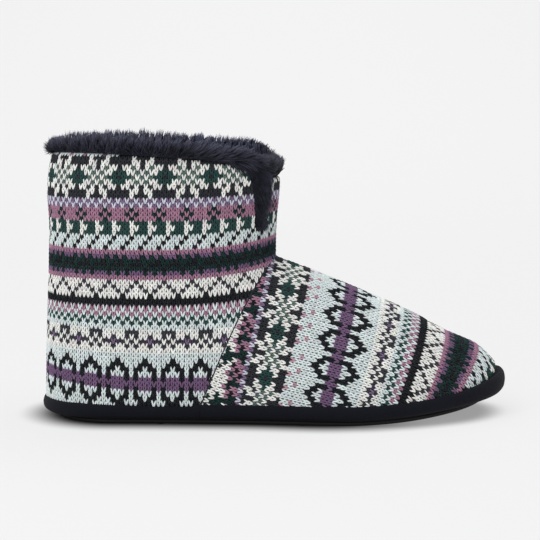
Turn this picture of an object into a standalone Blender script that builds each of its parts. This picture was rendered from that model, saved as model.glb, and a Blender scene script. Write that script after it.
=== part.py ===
"""Knitted ankle bootie slipper for the right foot, at its real size.

+X runs to the toe, +Y to the inner side of the foot and +Z up. While it is modelled, x is counted
from the heel end of the sole and y from the middle of the heel. At the end every piece is placed so
that the origin lies on the floor under the middle of the slipper.
"""

import math

import bmesh
import bpy
import numpy as np

MM = 0.001

# Sole, seen from above.
SOLE_LENGTH = 262.0 * MM
HEEL_WIDTH = 76.0 * MM
WAIST_WIDTH = 74.0 * MM
BALL_WIDTH = 96.0 * MM
TOE_WIDTH = 90.0 * MM
TOE_SWING = 6.0 * MM
WAIST_SWING = -4.5 * MM
HEEL_ROUND = 41.0 * MM
TOE_ROUND = 66.0 * MM
ROUND_POWER = 2.15

# Sole, seen from the side.
OUTSOLE_THICKNESS = 3.0 * MM
MIDSOLE_THICKNESS = 8.0 * MM
INSOLE_THICKNESS = 4.0 * MM
TOE_SPRING = 10.0 * MM
SPRING_START = 167.0 * MM
SPRING_POWER = 1.75
TOE_LIP = 4.0 * MM
LIP_START = 224.0 * MM
ARCH_LIFT = 1.2 * MM
ARCH_START = 90.0 * MM
ARCH_END = 150.0 * MM
OUTSOLE_SIDE_INSET = 4.5 * MM
OUTSOLE_HEEL_INSET = 9.0 * MM
OUTSOLE_TOE_INSET = 13.0 * MM
OUTSOLE_STEP = 0.9 * MM
MIDSOLE_BULGE = 2.4 * MM

# Upper.
WALL = 3.0 * MM
UPPER_SIDE_INSET = 2.2 * MM
UPPER_HEEL_INSET = 1.8 * MM
UPPER_TOE_INSET = 4.9 * MM
THROAT_HEIGHT = 88.8 * MM
THROAT_X = 131.4 * MM
TOE_TOP_HEIGHT = 24.0 * MM
SHAFT_WIDTH = 90.0 * MM
SHAFT_BACK_X = 4.3 * MM
COLLAR_HEIGHT = 147.0 * MM
COLLAR_DIP = 14.0 * MM
SHAFT_POWER = 2.15
VAMP_POWER = 2.2
VAMP_LEAST = 0.5 * MM
BLEND_HEEL = 4.0 * MM
BLEND_THROAT = 15.0 * MM
SEAM_DEPTH = 0.9 * MM
SEAM_WIDTH = 9.0 * MM
SEAM_SOLE_X = 90.5 * MM
SEAM_BOW = 0.75
SEAM_FADE = 10.0 * MM

# Slit on the outer side, a little behind the front line of the shaft.
SLIT_BEHIND_FRONT = 9.4 * MM
SLIT_X = THROAT_X - SLIT_BEHIND_FRONT
SLIT_GAP = 8.5 * MM
SLIT_BOTTOM = 105.0 * MM
SLIT_CORNER = 7.0 * MM
SLIT_FRONT_CORNER = 0.6

# Fur trim.
FUR_RISE = 8.0 * MM
FUR_OUTER = 2.2 * MM
FUR_INNER = 6.5 * MM
FUR_INSIDE_DROP = 8.0 * MM
FUR_SEAT = 0.4 * MM
SLIT_CLEARANCE = 0.6 * MM
LOCK_LENGTH = 3.6 * MM
LOCK_WIDTH = 9.0 * MM
LOCK_LEAN = 0.5
LOCK_SHORTEST = 0.45
LOCK_SEEDS = (7, 8, 11)
SLIT_FUR_PROUD = 2.6 * MM
SLIT_FUR_RISE = 0.45

GAP = 0.3 * MM
INSOLE_CLEARANCE = 1.3 * MM
INSOLE_TOE_CLEARANCE = 3.0 * MM
INSOLE_ROUNDING = 1.2 * MM

# How finely the forms are divided.
SOLE_STATIONS = 36
SIDE_STATIONS = 30
CORNER_STATIONS = 4
SLIT_STATIONS = 2
STRIP_STATIONS = 7
BACK_STATIONS = SIDE_STATIONS - CORNER_STATIONS - SLIT_STATIONS - STRIP_STATIONS
FOOT_LEVELS = 16
SHAFT_LEVELS_BELOW_SLIT = 3
SHAFT_LEVELS_BESIDE_SLIT = 6
STATIONS_PER_LOCK = 3
SLIT_FUR_LEVELS = 10
SLIT_FUR_COLUMNS = 5
END_CROWDING = 0.45
RELAX_LEVELS_BELOW = 7
RELAX_COLUMNS = 3
RELAX_ROUNDS = 10
RELAX_START = 0.4
RELAX_FADE = 0.3
SAMPLES = 700
SCAN_SAMPLES = 2000

# Width and swing of the sole along its length.
SOLE_SECTIONS = (
    # share of the length, width, sideways shift of its middle
    (0.00, HEEL_WIDTH, 0.0),
    (0.16, HEEL_WIDTH, 0.2 * WAIST_SWING),
    (0.42, WAIST_WIDTH, WAIST_SWING),
    (0.70, BALL_WIDTH, 0.0),
    (0.88, TOE_WIDTH, 0.65 * TOE_SWING),
    (1.00, TOE_WIDTH, TOE_SWING),
)

# The shaft as a tube: it narrows a little toward the heel and turns in at the collar.
SHAFT_SECTIONS = (
    # share of the collar height, back line and front line as shares of the shaft's depth, width share
    (0.00, -0.021, 1.000, 0.80),
    (0.34, -0.012, 1.000, 0.90),
    (0.60, 0.000, 1.000, 0.965),
    (0.75, 0.003, 1.001, 0.985),
    (0.86, -0.004, 1.010, 1.000),
    (0.94, 0.001, 1.014, 1.000),
    (1.10, 0.034, 0.995, 0.965),
)

# The line of the vamp from the toe up to the throat, and on up inside the shaft.
RIDGE_SECTIONS = (
    # share of the height between toe top and throat, share of the vamp's length counted from the toe
    (0.00, 0.000),
    (0.057, 0.009),
    (0.12, 0.037),
    (0.215, 0.092),
    (0.33, 0.226),
    (0.50, 0.385),
    (0.72, 0.638),
    (0.885, 0.840),
    (1.00, 1.000),
    (1.95, 2.120),
)

# The collar edge of the knit, from the back of the shaft to its front.
COLLAR_SECTIONS = (
    # share of the shaft's depth, share of the dip on the outer and on the inner side
    (0.00, 0.00, 0.00),
    (0.50, 0.04, 0.03),
    (0.70, 0.17, 0.12),
    (0.85, 0.46, 0.27),
    (0.94, 0.74, 0.50),
    (1.00, 1.00, 1.00),
)

# Side of the midsole band from its lower to its upper edge.
MIDSOLE_SIDE = (
    # share of the thickness, share of the bulge by which it is set in
    (0.00, 1.00),
    (0.12, 0.42),
    (0.38, 0.02),
    (0.66, 0.06),
    (0.88, 0.40),
    (1.00, 0.85),
)

# Side of the outsole from the floor up.
OUTSOLE_SIDE = (
    # share of the thickness, share of the step by which it is set in
    (0.00, 1.00),
    (0.25, 0.00),
    (0.62, 0.00),
    (0.70, 0.80),
    (1.00, 0.80),
)

# Side of the insole pad from its lower to its upper edge.
INSOLE_SIDE = (
    # share of the thickness, share of the rounding by which it is set in
    (0.00, 0.35),
    (0.30, 0.00),
    (0.80, 0.15),
    (1.00, 1.00),
)

COLOURS = {
    # colour, roughness
    "outsole": ((0.008, 0.008, 0.010, 1.0), 0.75),
    "midsole": ((0.010, 0.011, 0.020, 1.0), 0.90),
    "insole": ((0.016, 0.016, 0.024, 1.0), 0.95),
    "upper": ((0.42, 0.44, 0.46, 1.0), 0.90),
    "fur_trim": ((0.018, 0.018, 0.028, 1.0), 0.85),
}


def curve(rows, column, at):
    """A smooth curve through one column of a table, read at the given places of its first column."""
    places = np.array([row[0] for row in rows], float)
    values = np.array([row[column] for row in rows], float)
    slopes = np.gradient(values, places)
    at = np.clip(np.asarray(at, float), places[0], places[-1])
    span = np.clip(np.searchsorted(places, at, side="right") - 1, 0, len(places) - 2)
    width = places[span + 1] - places[span]
    t = (at - places[span]) / width
    rise = t * t * (3.0 - 2.0 * t)
    start = t * (1.0 - t) ** 2 * width * slopes[span]
    end = t * t * (t - 1.0) * width * slopes[span + 1]
    return values[span] + (values[span + 1] - values[span]) * rise + start + end


def round_end(share, power):
    """1 well inside a round end and 0 at its tip, as a superellipse; negative past the tip."""
    inside = 1.0 - np.clip(share, -1.0, 1.0)
    full = np.abs(1.0 - inside ** power) ** (1.0 / power)
    return np.where(share < 0.0, -full, full)


def softer_of(a, b, radius):
    """The larger of two values, with the corner between them rounded."""
    near = np.clip(radius - np.abs(a - b), 0.0, None) / radius
    return np.maximum(a, b) + near * near * radius * 0.25


def spring(x):
    """Rise of the sole toward the toe."""
    share = np.clip((x - SPRING_START) / (SOLE_LENGTH - SPRING_START), 0.0, 1.0)
    return TOE_SPRING * share ** SPRING_POWER


def lip(x):
    """Extra thickness of the midsole band at the toe."""
    share = np.clip((x - LIP_START) / (SOLE_LENGTH - LIP_START), 0.0, 1.0)
    return TOE_LIP * share ** 1.5


def arch(x):
    """Lift of the sole's inner edge under the waist of the foot."""
    share = np.clip((x - ARCH_START) / (ARCH_END - ARCH_START), 0.0, 1.0)
    return ARCH_LIFT * np.sin(math.pi * share) ** 2


def midsole_top(x):
    return OUTSOLE_THICKNESS + MIDSOLE_THICKNESS + spring(x) + lip(x)


def outline(x, side_inset, heel_inset, toe_inset):
    """Outer and inner edge, y for each x, of the sole's outline drawn in by the given insets."""
    share = x / SOLE_LENGTH
    width = curve(SOLE_SECTIONS, 1, share)
    middle = curve(SOLE_SECTIONS, 2, share)
    heel = round_end((x - heel_inset) / (HEEL_ROUND - heel_inset), ROUND_POWER)
    toe = round_end((SOLE_LENGTH - toe_inset - x) / (TOE_ROUND - toe_inset), ROUND_POWER)
    half = (0.5 * width - side_inset) * np.minimum(heel, toe)
    return middle - half, middle + half


def sole_ring(side_inset, heel_inset, toe_inset, height):
    """One closed loop of points: heel tip, outer edge, toe tip, inner edge.

    height gives z for x and for 0 at the outer edge to 1 at the inner edge.
    """
    turn = np.linspace(0.0, math.pi, SOLE_STATIONS + 1)
    length = SOLE_LENGTH - heel_inset - toe_inset
    x = heel_inset + length * (1.0 - np.cos(turn)) / 2.0
    outer, inner = outline(x, side_inset, heel_inset, toe_inset)
    there = np.column_stack([x, outer, height(x, 0.0)])
    back = np.column_stack([x, inner, height(x, 1.0)])[1:-1][::-1]
    return np.vstack([there, back])


def new_object(name, points, faces):
    """A mesh object with its own material, from points in metres."""
    mesh = bpy.data.meshes.new(name)
    mesh.from_pydata([tuple(p) for p in points], [], faces)
    cleaner = bmesh.new()
    cleaner.from_mesh(mesh)
    bmesh.ops.triangulate(cleaner, faces=cleaner.faces)
    bmesh.ops.recalc_face_normals(cleaner, faces=cleaner.faces)
    cleaner.to_mesh(mesh)
    cleaner.free()
    mesh.shade_smooth()
    mesh.set_sharp_from_angle(angle=math.radians(50.0))
    thing = bpy.data.objects.new(name, mesh)
    bpy.context.scene.collection.objects.link(thing)
    if name in COLOURS:
        colour, roughness = COLOURS[name]
        material = bpy.data.materials.new(name)
        material.use_nodes = True
        shader = material.node_tree.nodes["Principled BSDF"]
        shader.inputs["Base Color"].default_value = colour
        shader.inputs["Roughness"].default_value = roughness
        shader.inputs["Metallic"].default_value = 0.0
        mesh.materials.append(material)
    return thing


def ring_faces(first, second, count):
    """Quads between two closed loops of the same number of points."""
    return [(first + i, first + (i + 1) % count, second + (i + 1) % count, second + i)
            for i in range(count)]


def cap_faces(first, stations):
    """Faces straight across a sole loop, from its outer edge to its inner edge."""
    count = 2 * stations
    faces = [(first, first + 1, first + count - 1)]
    faces += [(first + i, first + i + 1, first + count - i - 1, first + count - i)
              for i in range(1, stations - 1)]
    faces.append((first + stations - 1, first + stations, first + stations + 1))
    return faces


def slab(name, rings):
    """A closed sole piece lofted through its loops from the lowest to the highest."""
    count = len(rings[0])
    faces = cap_faces(0, SOLE_STATIONS)
    for level in range(len(rings) - 1):
        faces += ring_faces(level * count, (level + 1) * count, count)
    faces += cap_faces((len(rings) - 1) * count, SOLE_STATIONS)
    return new_object(name, np.vstack(rings), faces)


def make_outsole():
    rings = []
    for share, step in OUTSOLE_SIDE:
        def height(x, across, share=share):
            floor = spring(x) + arch(x) * across
            return floor + (OUTSOLE_THICKNESS - GAP + spring(x) - floor) * share
        inset = OUTSOLE_STEP * step
        rings.append(sole_ring(OUTSOLE_SIDE_INSET + inset, OUTSOLE_HEEL_INSET + inset,
                               OUTSOLE_TOE_INSET + inset, height))
    return slab("outsole", rings)


def make_midsole():
    rings = []
    for share, bulge in MIDSOLE_SIDE:
        def height(x, across, share=share):
            bottom = OUTSOLE_THICKNESS + spring(x)
            return bottom + (midsole_top(x) - bottom) * share
        inset = MIDSOLE_BULGE * bulge
        rings.append(sole_ring(inset, inset, inset, height))
    return slab("midsole", rings)


def make_insole():
    side = UPPER_SIDE_INSET + WALL + INSOLE_CLEARANCE
    heel = UPPER_HEEL_INSET + WALL + INSOLE_CLEARANCE
    toe = UPPER_TOE_INSET + WALL + INSOLE_TOE_CLEARANCE
    rings = []
    for share, rounding in INSOLE_SIDE:
        def height(x, across, share=share):
            return midsole_top(x) + GAP + INSOLE_THICKNESS * share
        draw = INSOLE_ROUNDING * rounding
        rings.append(sole_ring(side + draw, heel + draw, toe + draw, height))
    return slab("insole", rings)


def shaft(z):
    """Back line, front line and half width of the shaft's tube at each height."""
    share = z / COLLAR_HEIGHT
    depth = THROAT_X - SHAFT_BACK_X
    back = SHAFT_BACK_X + depth * curve(SHAFT_SECTIONS, 1, share)
    front = SHAFT_BACK_X + depth * curve(SHAFT_SECTIONS, 2, share)
    return back, front, 0.5 * SHAFT_WIDTH * curve(SHAFT_SECTIONS, 3, share)


def ridge_height(x):
    """Height of the vamp's top line over each x."""
    shares = np.linspace(0.0, RIDGE_SECTIONS[-1][0], 400)
    toe_x = SOLE_LENGTH - UPPER_TOE_INSET
    along = toe_x - (toe_x - THROAT_X) * curve(RIDGE_SECTIONS, 1, shares)
    heights = TOE_TOP_HEIGHT + (THROAT_HEIGHT - TOE_TOP_HEIGHT) * shares
    return np.interp(x, along[::-1], heights[::-1])


def ridge_side(x):
    """Sideways place of the vamp's top line, which swings with the toe."""
    share = np.clip((x - THROAT_X) / (SOLE_LENGTH - THROAT_X), 0.0, 1.0)
    return TOE_SWING * share * share * (3.0 - 2.0 * share)


def seam_trough(x, z):
    """Depth of the soft trough along the seam between vamp and quarter."""
    share = (THROAT_HEIGHT - z) / (THROAT_HEIGHT - midsole_top(SEAM_SOLE_X))
    seam_x = THROAT_X - (THROAT_X - SEAM_SOLE_X) * np.clip(share, 0.0, 1.0) ** SEAM_BOW
    away = (x - seam_x) / (0.5 * SEAM_WIDTH)
    fade = np.clip((THROAT_HEIGHT - z) / SEAM_FADE, 0.0, 1.0)
    return SEAM_DEPTH * np.exp(-away * away) * fade


def sides(x, z):
    """Outer and inner side of the upper, y for each x and z: foot and shaft blended into one."""
    back, front, half = shaft(z)
    along = (2.0 * x - back - front) / (front - back)
    tube = half * round_end(1.0 - np.abs(along), SHAFT_POWER)
    foot_x = x - (back - UPPER_HEEL_INSET)
    outer, inner = outline(foot_x, UPPER_SIDE_INSET, UPPER_HEEL_INSET, UPPER_TOE_INSET)
    low = midsole_top(x)
    share = (z - low) / np.maximum(ridge_height(x) - low, VAMP_LEAST)
    arched = np.sign(1.0 - share) * np.abs(1.0 - np.abs(share) ** VAMP_POWER) ** 0.5
    top = ridge_side(x)
    trough = seam_trough(x, z)
    forward = np.clip((x - back) / (THROAT_X - back), 0.0, 1.0)
    radius = BLEND_HEEL + (BLEND_THROAT - BLEND_HEEL) * forward ** 2
    outer_half = softer_of((top - outer) * arched - top, tube, radius) - trough
    inner_half = softer_of((inner - top) * arched + top, tube, radius) - trough
    return -outer_half, inner_half


def collar_edge(x, outer=True):
    """Height of the knit's collar edge on one side, without the slit's rounded corners."""
    share = (x - SHAFT_BACK_X) / (THROAT_X - SHAFT_BACK_X)
    return COLLAR_HEIGHT - COLLAR_DIP * curve(COLLAR_SECTIONS, 1 if outer else 2, share)


def corner_drop(x, outer):
    """How far the collar edge drops to the slit's rounded corners, on the outer side alone."""
    front_corner = SLIT_FRONT_CORNER * SLIT_CORNER
    before = np.clip((x - (SLIT_X - 0.5 * SLIT_GAP - SLIT_CORNER)) / SLIT_CORNER, 0.0, 1.0)
    after = np.clip((SLIT_X + 0.5 * SLIT_GAP + front_corner - x) / front_corner, 0.0, 1.0)
    drop = np.minimum(1.0 - np.sqrt(1.0 - before ** 2), 1.0 - np.sqrt(1.0 - after ** 2))
    return SLIT_CORNER * drop if outer else 0.0 * x


def shares_along(points, fractions):
    """Points at given shares of the length of a polyline."""
    steps = np.linalg.norm(np.diff(points, axis=0), axis=1)
    run = np.concatenate([[0.0], np.cumsum(steps)])
    return np.column_stack([np.interp(np.asarray(fractions) * run[-1], run, points[:, k])
                            for k in range(3)])


def foot_sides(share):
    """Outer and inner polyline, heel to vamp line, of one level between sole and throat."""
    scan = np.linspace(THROAT_X - UPPER_SIDE_INSET, SOLE_LENGTH - UPPER_TOE_INSET, SCAN_SAMPLES)
    low = midsole_top(scan)
    line = low + GAP + share * (THROAT_HEIGHT - low - GAP)
    over = np.where(ridge_height(scan) >= line)[0]
    end = scan[over[-1]] if len(over) else THROAT_X
    first_z = midsole_top(0.0) + GAP + share * (THROAT_HEIGHT - midsole_top(0.0) - GAP)
    start = float(shaft(first_z)[0])
    x = start + (end - start) * (1.0 - np.cos(np.linspace(0.0, math.pi, SAMPLES))) / 2.0
    low = midsole_top(x) + GAP
    z = low + share * (THROAT_HEIGHT - low)
    outer, inner = sides(x, z)
    tip = ridge_side(end)
    outer[0], inner[0], outer[-1], inner[-1] = 0.0, 0.0, tip, tip
    outer = np.minimum(outer, np.interp(x, [start, end], [0.0, tip]))
    inner = np.maximum(inner, np.interp(x, [start, end], [0.0, tip]))
    return np.column_stack([x, outer, z]), np.column_stack([x, inner, z])


def shaft_point(depth_share, line, outer):
    """Points of the shaft's outer skin at shares of its depth, where line gives the height for x."""
    x = SHAFT_BACK_X + (THROAT_X - SHAFT_BACK_X) * depth_share
    for _ in range(3):
        z = line(x)
        back, front, _ = shaft(z)
        x = back + (front - back) * depth_share
    z = line(x)
    y = sides(x, z)[0 if outer else 1]
    y = np.where((depth_share < 1e-6) | (depth_share > 1.0 - 1e-6), 0.0, y)
    return np.column_stack([x, y, z])


def station_shares():
    """Shares of a side's length at which the upper's points stand, heel to front.

    The outer side has stations exactly at the slit's two edges and close ones at its corner. Both
    come with the shares of the shaft's depth that they have at the throat's level.
    """
    outer_line, inner_line = foot_sides(1.0)
    tables = []
    for line, slit in ((outer_line, True), (inner_line, False)):
        steps = np.linalg.norm(np.diff(line, axis=0), axis=1)
        run = np.concatenate([[0.0], np.cumsum(steps)])
        run /= run[-1]
        depth = (line[:, 0] - line[0, 0]) / (line[-1, 0] - line[0, 0])
        if slit:
            edges = [SLIT_X - 0.5 * SLIT_GAP - SLIT_CORNER, SLIT_X - 0.5 * SLIT_GAP,
                     SLIT_X + 0.5 * SLIT_GAP]
            places = [np.interp(edge, line[:, 0], run) for edge in edges]
            parts = [np.linspace(0.0, places[0], BACK_STATIONS + 1)[:-1],
                     np.linspace(places[0], places[1], CORNER_STATIONS + 1)[:-1],
                     np.linspace(places[1], places[2], SLIT_STATIONS + 1)[:-1],
                     np.linspace(places[2], 1.0, STRIP_STATIONS + 1)]
            shares = np.concatenate(parts)
        else:
            shares = np.linspace(0.0, 1.0, SIDE_STATIONS + 1)
        tables.append((shares, np.interp(shares, run, depth)))
    return tables


def join_sides(outer, inner):
    """One closed loop from an outer and an inner polyline that share their ends."""
    return np.vstack([outer, inner[1:-1][::-1]])


def upper_levels():
    """Grid of points on the upper's outer skin, one closed loop a level, sole to collar."""
    (outer_shares, outer_depth), (inner_shares, inner_depth) = station_shares()
    loops = []
    steps = np.linspace(0.0, 1.0, FOOT_LEVELS + 1)
    for share in steps - END_CROWDING * np.sin(2.0 * math.pi * steps) / (2.0 * math.pi):
        outer_line, inner_line = foot_sides(share)
        loops.append(join_sides(shares_along(outer_line, outer_shares),
                                shares_along(inner_line, inner_shares)))
    beside_slit = collar_edge(SLIT_X) - corner_drop(SLIT_X, True)
    at_slit = (SLIT_BOTTOM - THROAT_HEIGHT) / (beside_slit - THROAT_HEIGHT)
    rises = np.concatenate([np.linspace(0.0, at_slit, SHAFT_LEVELS_BELOW_SLIT + 1)[1:],
                            np.linspace(at_slit, 1.0, SHAFT_LEVELS_BESIDE_SLIT + 1)[1:]])
    for rise in rises:
        rows = []
        for depth, outer in ((outer_depth, True), (inner_depth, False)):
            def line(x, outer=outer):
                top = collar_edge(x, outer) - corner_drop(x, outer)
                return THROAT_HEIGHT + rise * (top - THROAT_HEIGHT)
            rows.append(shaft_point(depth, line, outer))
        loops.append(join_sides(*rows))
    return relaxed(np.array(loops))


def relaxed(grid):
    """The grid with its points evened out beside the throat, where shaft and vamp meet in a hollow.

    The slit and the back half of the slipper stay as they are, and the line of the vamp nearly so.
    """
    levels = np.arange(len(grid)) - FOOT_LEVELS
    tall = np.where(levels < 0, RELAX_LEVELS_BELOW, SHAFT_LEVELS_BELOW_SLIT)
    columns = np.arange(grid.shape[1])
    beside = (np.abs(columns - SIDE_STATIONS) + 1.0) / RELAX_COLUMNS
    ahead = (grid[:, :, 0] / THROAT_X - RELAX_START) / RELAX_FADE
    weight = np.clip(1.0 - np.abs(levels) / tall, 0.0, 1.0)[:, None]
    weight = weight * np.clip(beside, 0.0, 1.0) * np.clip(ahead, 0.0, 1.0)
    weight = weight[:, :, None]
    for _ in range(RELAX_ROUNDS):
        around = np.roll(grid, 1, axis=1) + np.roll(grid, -1, axis=1)
        across = 2.0 * grid
        across[1:-1] = grid[2:] + grid[:-2]
        grid = grid + 0.5 * weight * ((around + across) / 4.0 - grid)
    return grid


def skin_normals(grid):
    """Unit vectors pointing out of a grid of closed loops."""
    around = np.roll(grid, -1, axis=1) - np.roll(grid, 1, axis=1)
    upward = np.empty_like(grid)
    upward[1:-1] = grid[2:] - grid[:-2]
    upward[0] = grid[1] - grid[0]
    upward[-1] = grid[-1] - grid[-2]
    normal = np.cross(around, upward)
    normal /= np.linalg.norm(normal, axis=2, keepdims=True)
    middle = grid.mean(axis=(0, 1))
    away = np.sum((grid - middle) * normal, axis=2).mean()
    return normal if away > 0.0 else -normal


def make_upper():
    """The knitted upper as one hollow wall, open at collar, slit and underneath."""
    outer = upper_levels()
    normal = skin_normals(outer)
    normal[0, :, 2] = 0.0
    normal[0] /= np.linalg.norm(normal[0], axis=1, keepdims=True)
    inner = outer - WALL * normal
    levels, count = outer.shape[:2]
    inner[:, :, 2] = np.maximum(inner[:, :, 2], inner[0, :, 2])
    first = BACK_STATIONS + CORNER_STATIONS
    last = first + SLIT_STATIONS
    slit_level = FOOT_LEVELS + SHAFT_LEVELS_BELOW_SLIT
    size = levels * count
    faces = []
    edges = {}

    def at(level, column):
        return level * count + column % count

    for level in range(levels - 1):
        for column in range(count):
            if level >= slit_level and first <= column < last:
                continue
            corners = (at(level, column), at(level, column + 1),
                       at(level + 1, column + 1), at(level + 1, column))
            faces.append(corners)
            faces.append(tuple(size + c for c in reversed(corners)))
            for a, b in zip(corners, corners[1:] + corners[:1]):
                if (b, a) in edges:
                    del edges[(b, a)]
                else:
                    edges[(a, b)] = True
    faces += [(b, a, size + a, size + b) for a, b in edges]
    points = np.vstack([outer.reshape(-1, 3), inner.reshape(-1, 3)])
    used = sorted({corner for face in faces for corner in face})
    renumber = {old: new for new, old in enumerate(used)}
    faces = [tuple(renumber[corner] for corner in face) for face in faces]
    return new_object("upper", points[used], faces)


def collar_frames(count):
    """Points along the collar edge with the directions out of the wall and up along it."""
    turn = np.linspace(0.0, 1.0, count // 2 + 1)
    frames = []
    for outer in (True, False):
        dense = np.linspace(0.0, 1.0, SAMPLES)
        depth = (1.0 - np.cos(math.pi * dense)) / 2.0

        def line(x, below=0.0):
            return collar_edge(x, outer) - 0.3 * corner_drop(x, outer) - below
        edge = shares_along(shaft_point(depth, line, outer), turn)
        below = shares_along(shaft_point(depth, lambda x: line(x, 0.5 * FUR_RISE), outer), turn)
        frames.append((edge, below))
    edge = join_sides(frames[0][0], frames[1][0])
    below = join_sides(frames[0][1], frames[1][1])
    up = edge - below
    up /= np.linalg.norm(up, axis=1, keepdims=True)
    along = np.roll(edge, -1, axis=0) - np.roll(edge, 1, axis=0)
    out = np.cross(along, up)
    out /= np.linalg.norm(out, axis=1, keepdims=True)
    if np.sum((edge - edge.mean(axis=0)) * out) < 0.0:
        out = -out
    up = np.cross(np.cross(out, up), out)
    return edge, out, up


def trim_section():
    """Section of the fur over the collar edge, with the share of a lock's length at each point.

    The first two points are its seat on the knit's edge, the third is the foot of the lining's pile.
    """
    return np.array((
        # out of the wall, up along the wall, share of the lock
        (-0.1 * WALL, FUR_SEAT, 0.0),
        (-WALL - FUR_SEAT, FUR_SEAT, 0.0),
        (-WALL - 3.5 * FUR_SEAT, -0.9 * FUR_INSIDE_DROP, 0.0),
        (-WALL - 0.7 * FUR_INNER, -FUR_INSIDE_DROP, 0.3),
        (-WALL - FUR_INNER, -0.35 * FUR_INSIDE_DROP, 0.6),
        (-WALL - FUR_INNER, 0.25 * FUR_RISE, 0.7),
        (-WALL - 0.6 * FUR_INNER, 0.8 * FUR_RISE, 0.9),
        (-0.7 * WALL, FUR_RISE, 1.0),
        (0.3 * FUR_OUTER, 0.95 * FUR_RISE, 1.0),
        (FUR_OUTER, 0.62 * FUR_RISE, 0.9),
        (0.9 * FUR_OUTER, 0.22 * FUR_RISE, 0.4),
    ))


def make_fur_trim():
    """Fur over the collar edge with pointed locks, joined to the fur that fills the slit."""
    rough = collar_frames(64)[0]
    perimeter = np.linalg.norm(rough - np.roll(rough, 1, axis=0), axis=1).sum()
    locks = int(round(perimeter / LOCK_WIDTH / 2.0)) * 2
    count = locks * STATIONS_PER_LOCK
    edge, out, up = collar_frames(count)
    section = trim_section()
    middle = section[:, :2].mean(axis=0)
    size = np.random.RandomState(LOCK_SEEDS[0]).uniform(LOCK_SHORTEST, 1.0, (locks, len(section)))
    lean = np.random.RandomState(LOCK_SEEDS[1]).uniform(-LOCK_LEAN, LOCK_LEAN, locks)
    along = np.roll(edge, -1, axis=0) - np.roll(edge, 1, axis=0)
    along /= np.linalg.norm(along, axis=1, keepdims=True)
    place_in_lock = np.arange(count) % STATIONS_PER_LOCK
    lock = np.arange(count) // STATIONS_PER_LOCK
    tooth = np.where(place_in_lock == 1, 1.0, np.where(place_in_lock == 2, 0.35, 0.0))
    rows = len(section)
    loops = np.empty((count, rows, 3))
    for row, (outward, upward, share) in enumerate(section):
        aim = np.array([outward, upward]) - middle
        aim /= np.linalg.norm(aim)
        length = (LOCK_LENGTH * share * tooth * size[lock, row])[:, None]
        tip = aim[0] * out + aim[1] * up + lean[lock][:, None] * along
        loops[:, row] = edge + outward * out + upward * up + length * tip
    faces = []
    for i in range(count):
        faces += ring_faces(i * rows, ((i + 1) % count) * rows, rows)
    trim = new_object("fur_trim", loops.reshape(-1, 3), faces)
    union = trim.modifiers.new("slit fur", "BOOLEAN")
    union.operation = "UNION"
    union.solver = "EXACT"
    union.object = make_slit_fur()
    return trim


def make_slit_fur():
    """The pile that fills the slit between its two knit edges, up into the collar fur."""
    levels = SLIT_FUR_LEVELS
    columns = SLIT_FUR_COLUMNS
    half = 0.5 * SLIT_GAP - SLIT_CLEARANCE
    edges = np.array([SLIT_X - half, SLIT_X + half])
    depth = np.linspace(*(edges - SHAFT_BACK_X) / (THROAT_X - SHAFT_BACK_X), columns)
    top = collar_edge(SLIT_X) + SLIT_FUR_RISE * FUR_RISE
    heights = np.linspace(SLIT_BOTTOM + 1.5 * SLIT_CLEARANCE, top, levels)
    puff = np.sin(math.pi * np.linspace(0.0, 1.0, columns))
    spread = np.random.RandomState(LOCK_SEEDS[2]).uniform(LOCK_SHORTEST, 1.0, (levels, columns))
    loops = []
    for k, height in enumerate(heights):
        skin = shaft_point(depth, lambda x: height + 0.0 * x, True)
        along = np.gradient(skin, axis=0)
        out = np.cross(along, np.array([0.0, 0.0, 1.0]))
        out /= np.linalg.norm(out, axis=1, keepdims=True)
        out *= -np.sign(out[:, 1:2])
        tuft = LOCK_LENGTH * 0.6 * spread[k] * (k % 2)
        proud = 0.25 * SLIT_FUR_PROUD + (0.75 * SLIT_FUR_PROUD + tuft) * puff
        inside = WALL + 0.35 * FUR_INNER + 0.3 * FUR_INNER * puff
        loops.append(np.vstack([skin + proud[:, None] * out, (skin - inside[:, None] * out)[::-1]]))
    count = 2 * columns
    faces = [tuple(range(count))]
    for k in range(levels - 1):
        faces += ring_faces(k * count, (k + 1) * count, count)
    faces.append(tuple((levels - 1) * count + i for i in range(count)))
    filler = new_object("slit_filler", np.vstack(loops), faces)
    filler.hide_render = True
    filler.display_type = "WIRE"
    return filler


def place(things):
    """Puts the origin on the floor under the middle of the slipper's box."""
    bpy.context.view_layer.update()
    graph = bpy.context.evaluated_depsgraph_get()
    corners = []
    for thing in things:
        shape = thing.evaluated_get(graph).to_mesh()
        corners += [tuple(v.co) for v in shape.vertices]
    corners = np.array(corners)
    middle = (corners.min(axis=0) + corners.max(axis=0)) / 2.0
    for thing in bpy.context.scene.objects:
        thing.location = (-middle[0], -middle[1], 0.0)


def main():
    for thing in list(bpy.data.objects):
        bpy.data.objects.remove(thing)
    place([make_outsole(), make_midsole(), make_insole(), make_upper(), make_fur_trim()])


main()
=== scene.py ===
"""Knitted ankle bootie slipper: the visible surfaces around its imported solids.

Lengths are in metres. The shape functions count x from the heel end of the sole and y from the middle
of the heel; to_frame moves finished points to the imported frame.
"""

import copy
import math

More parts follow.
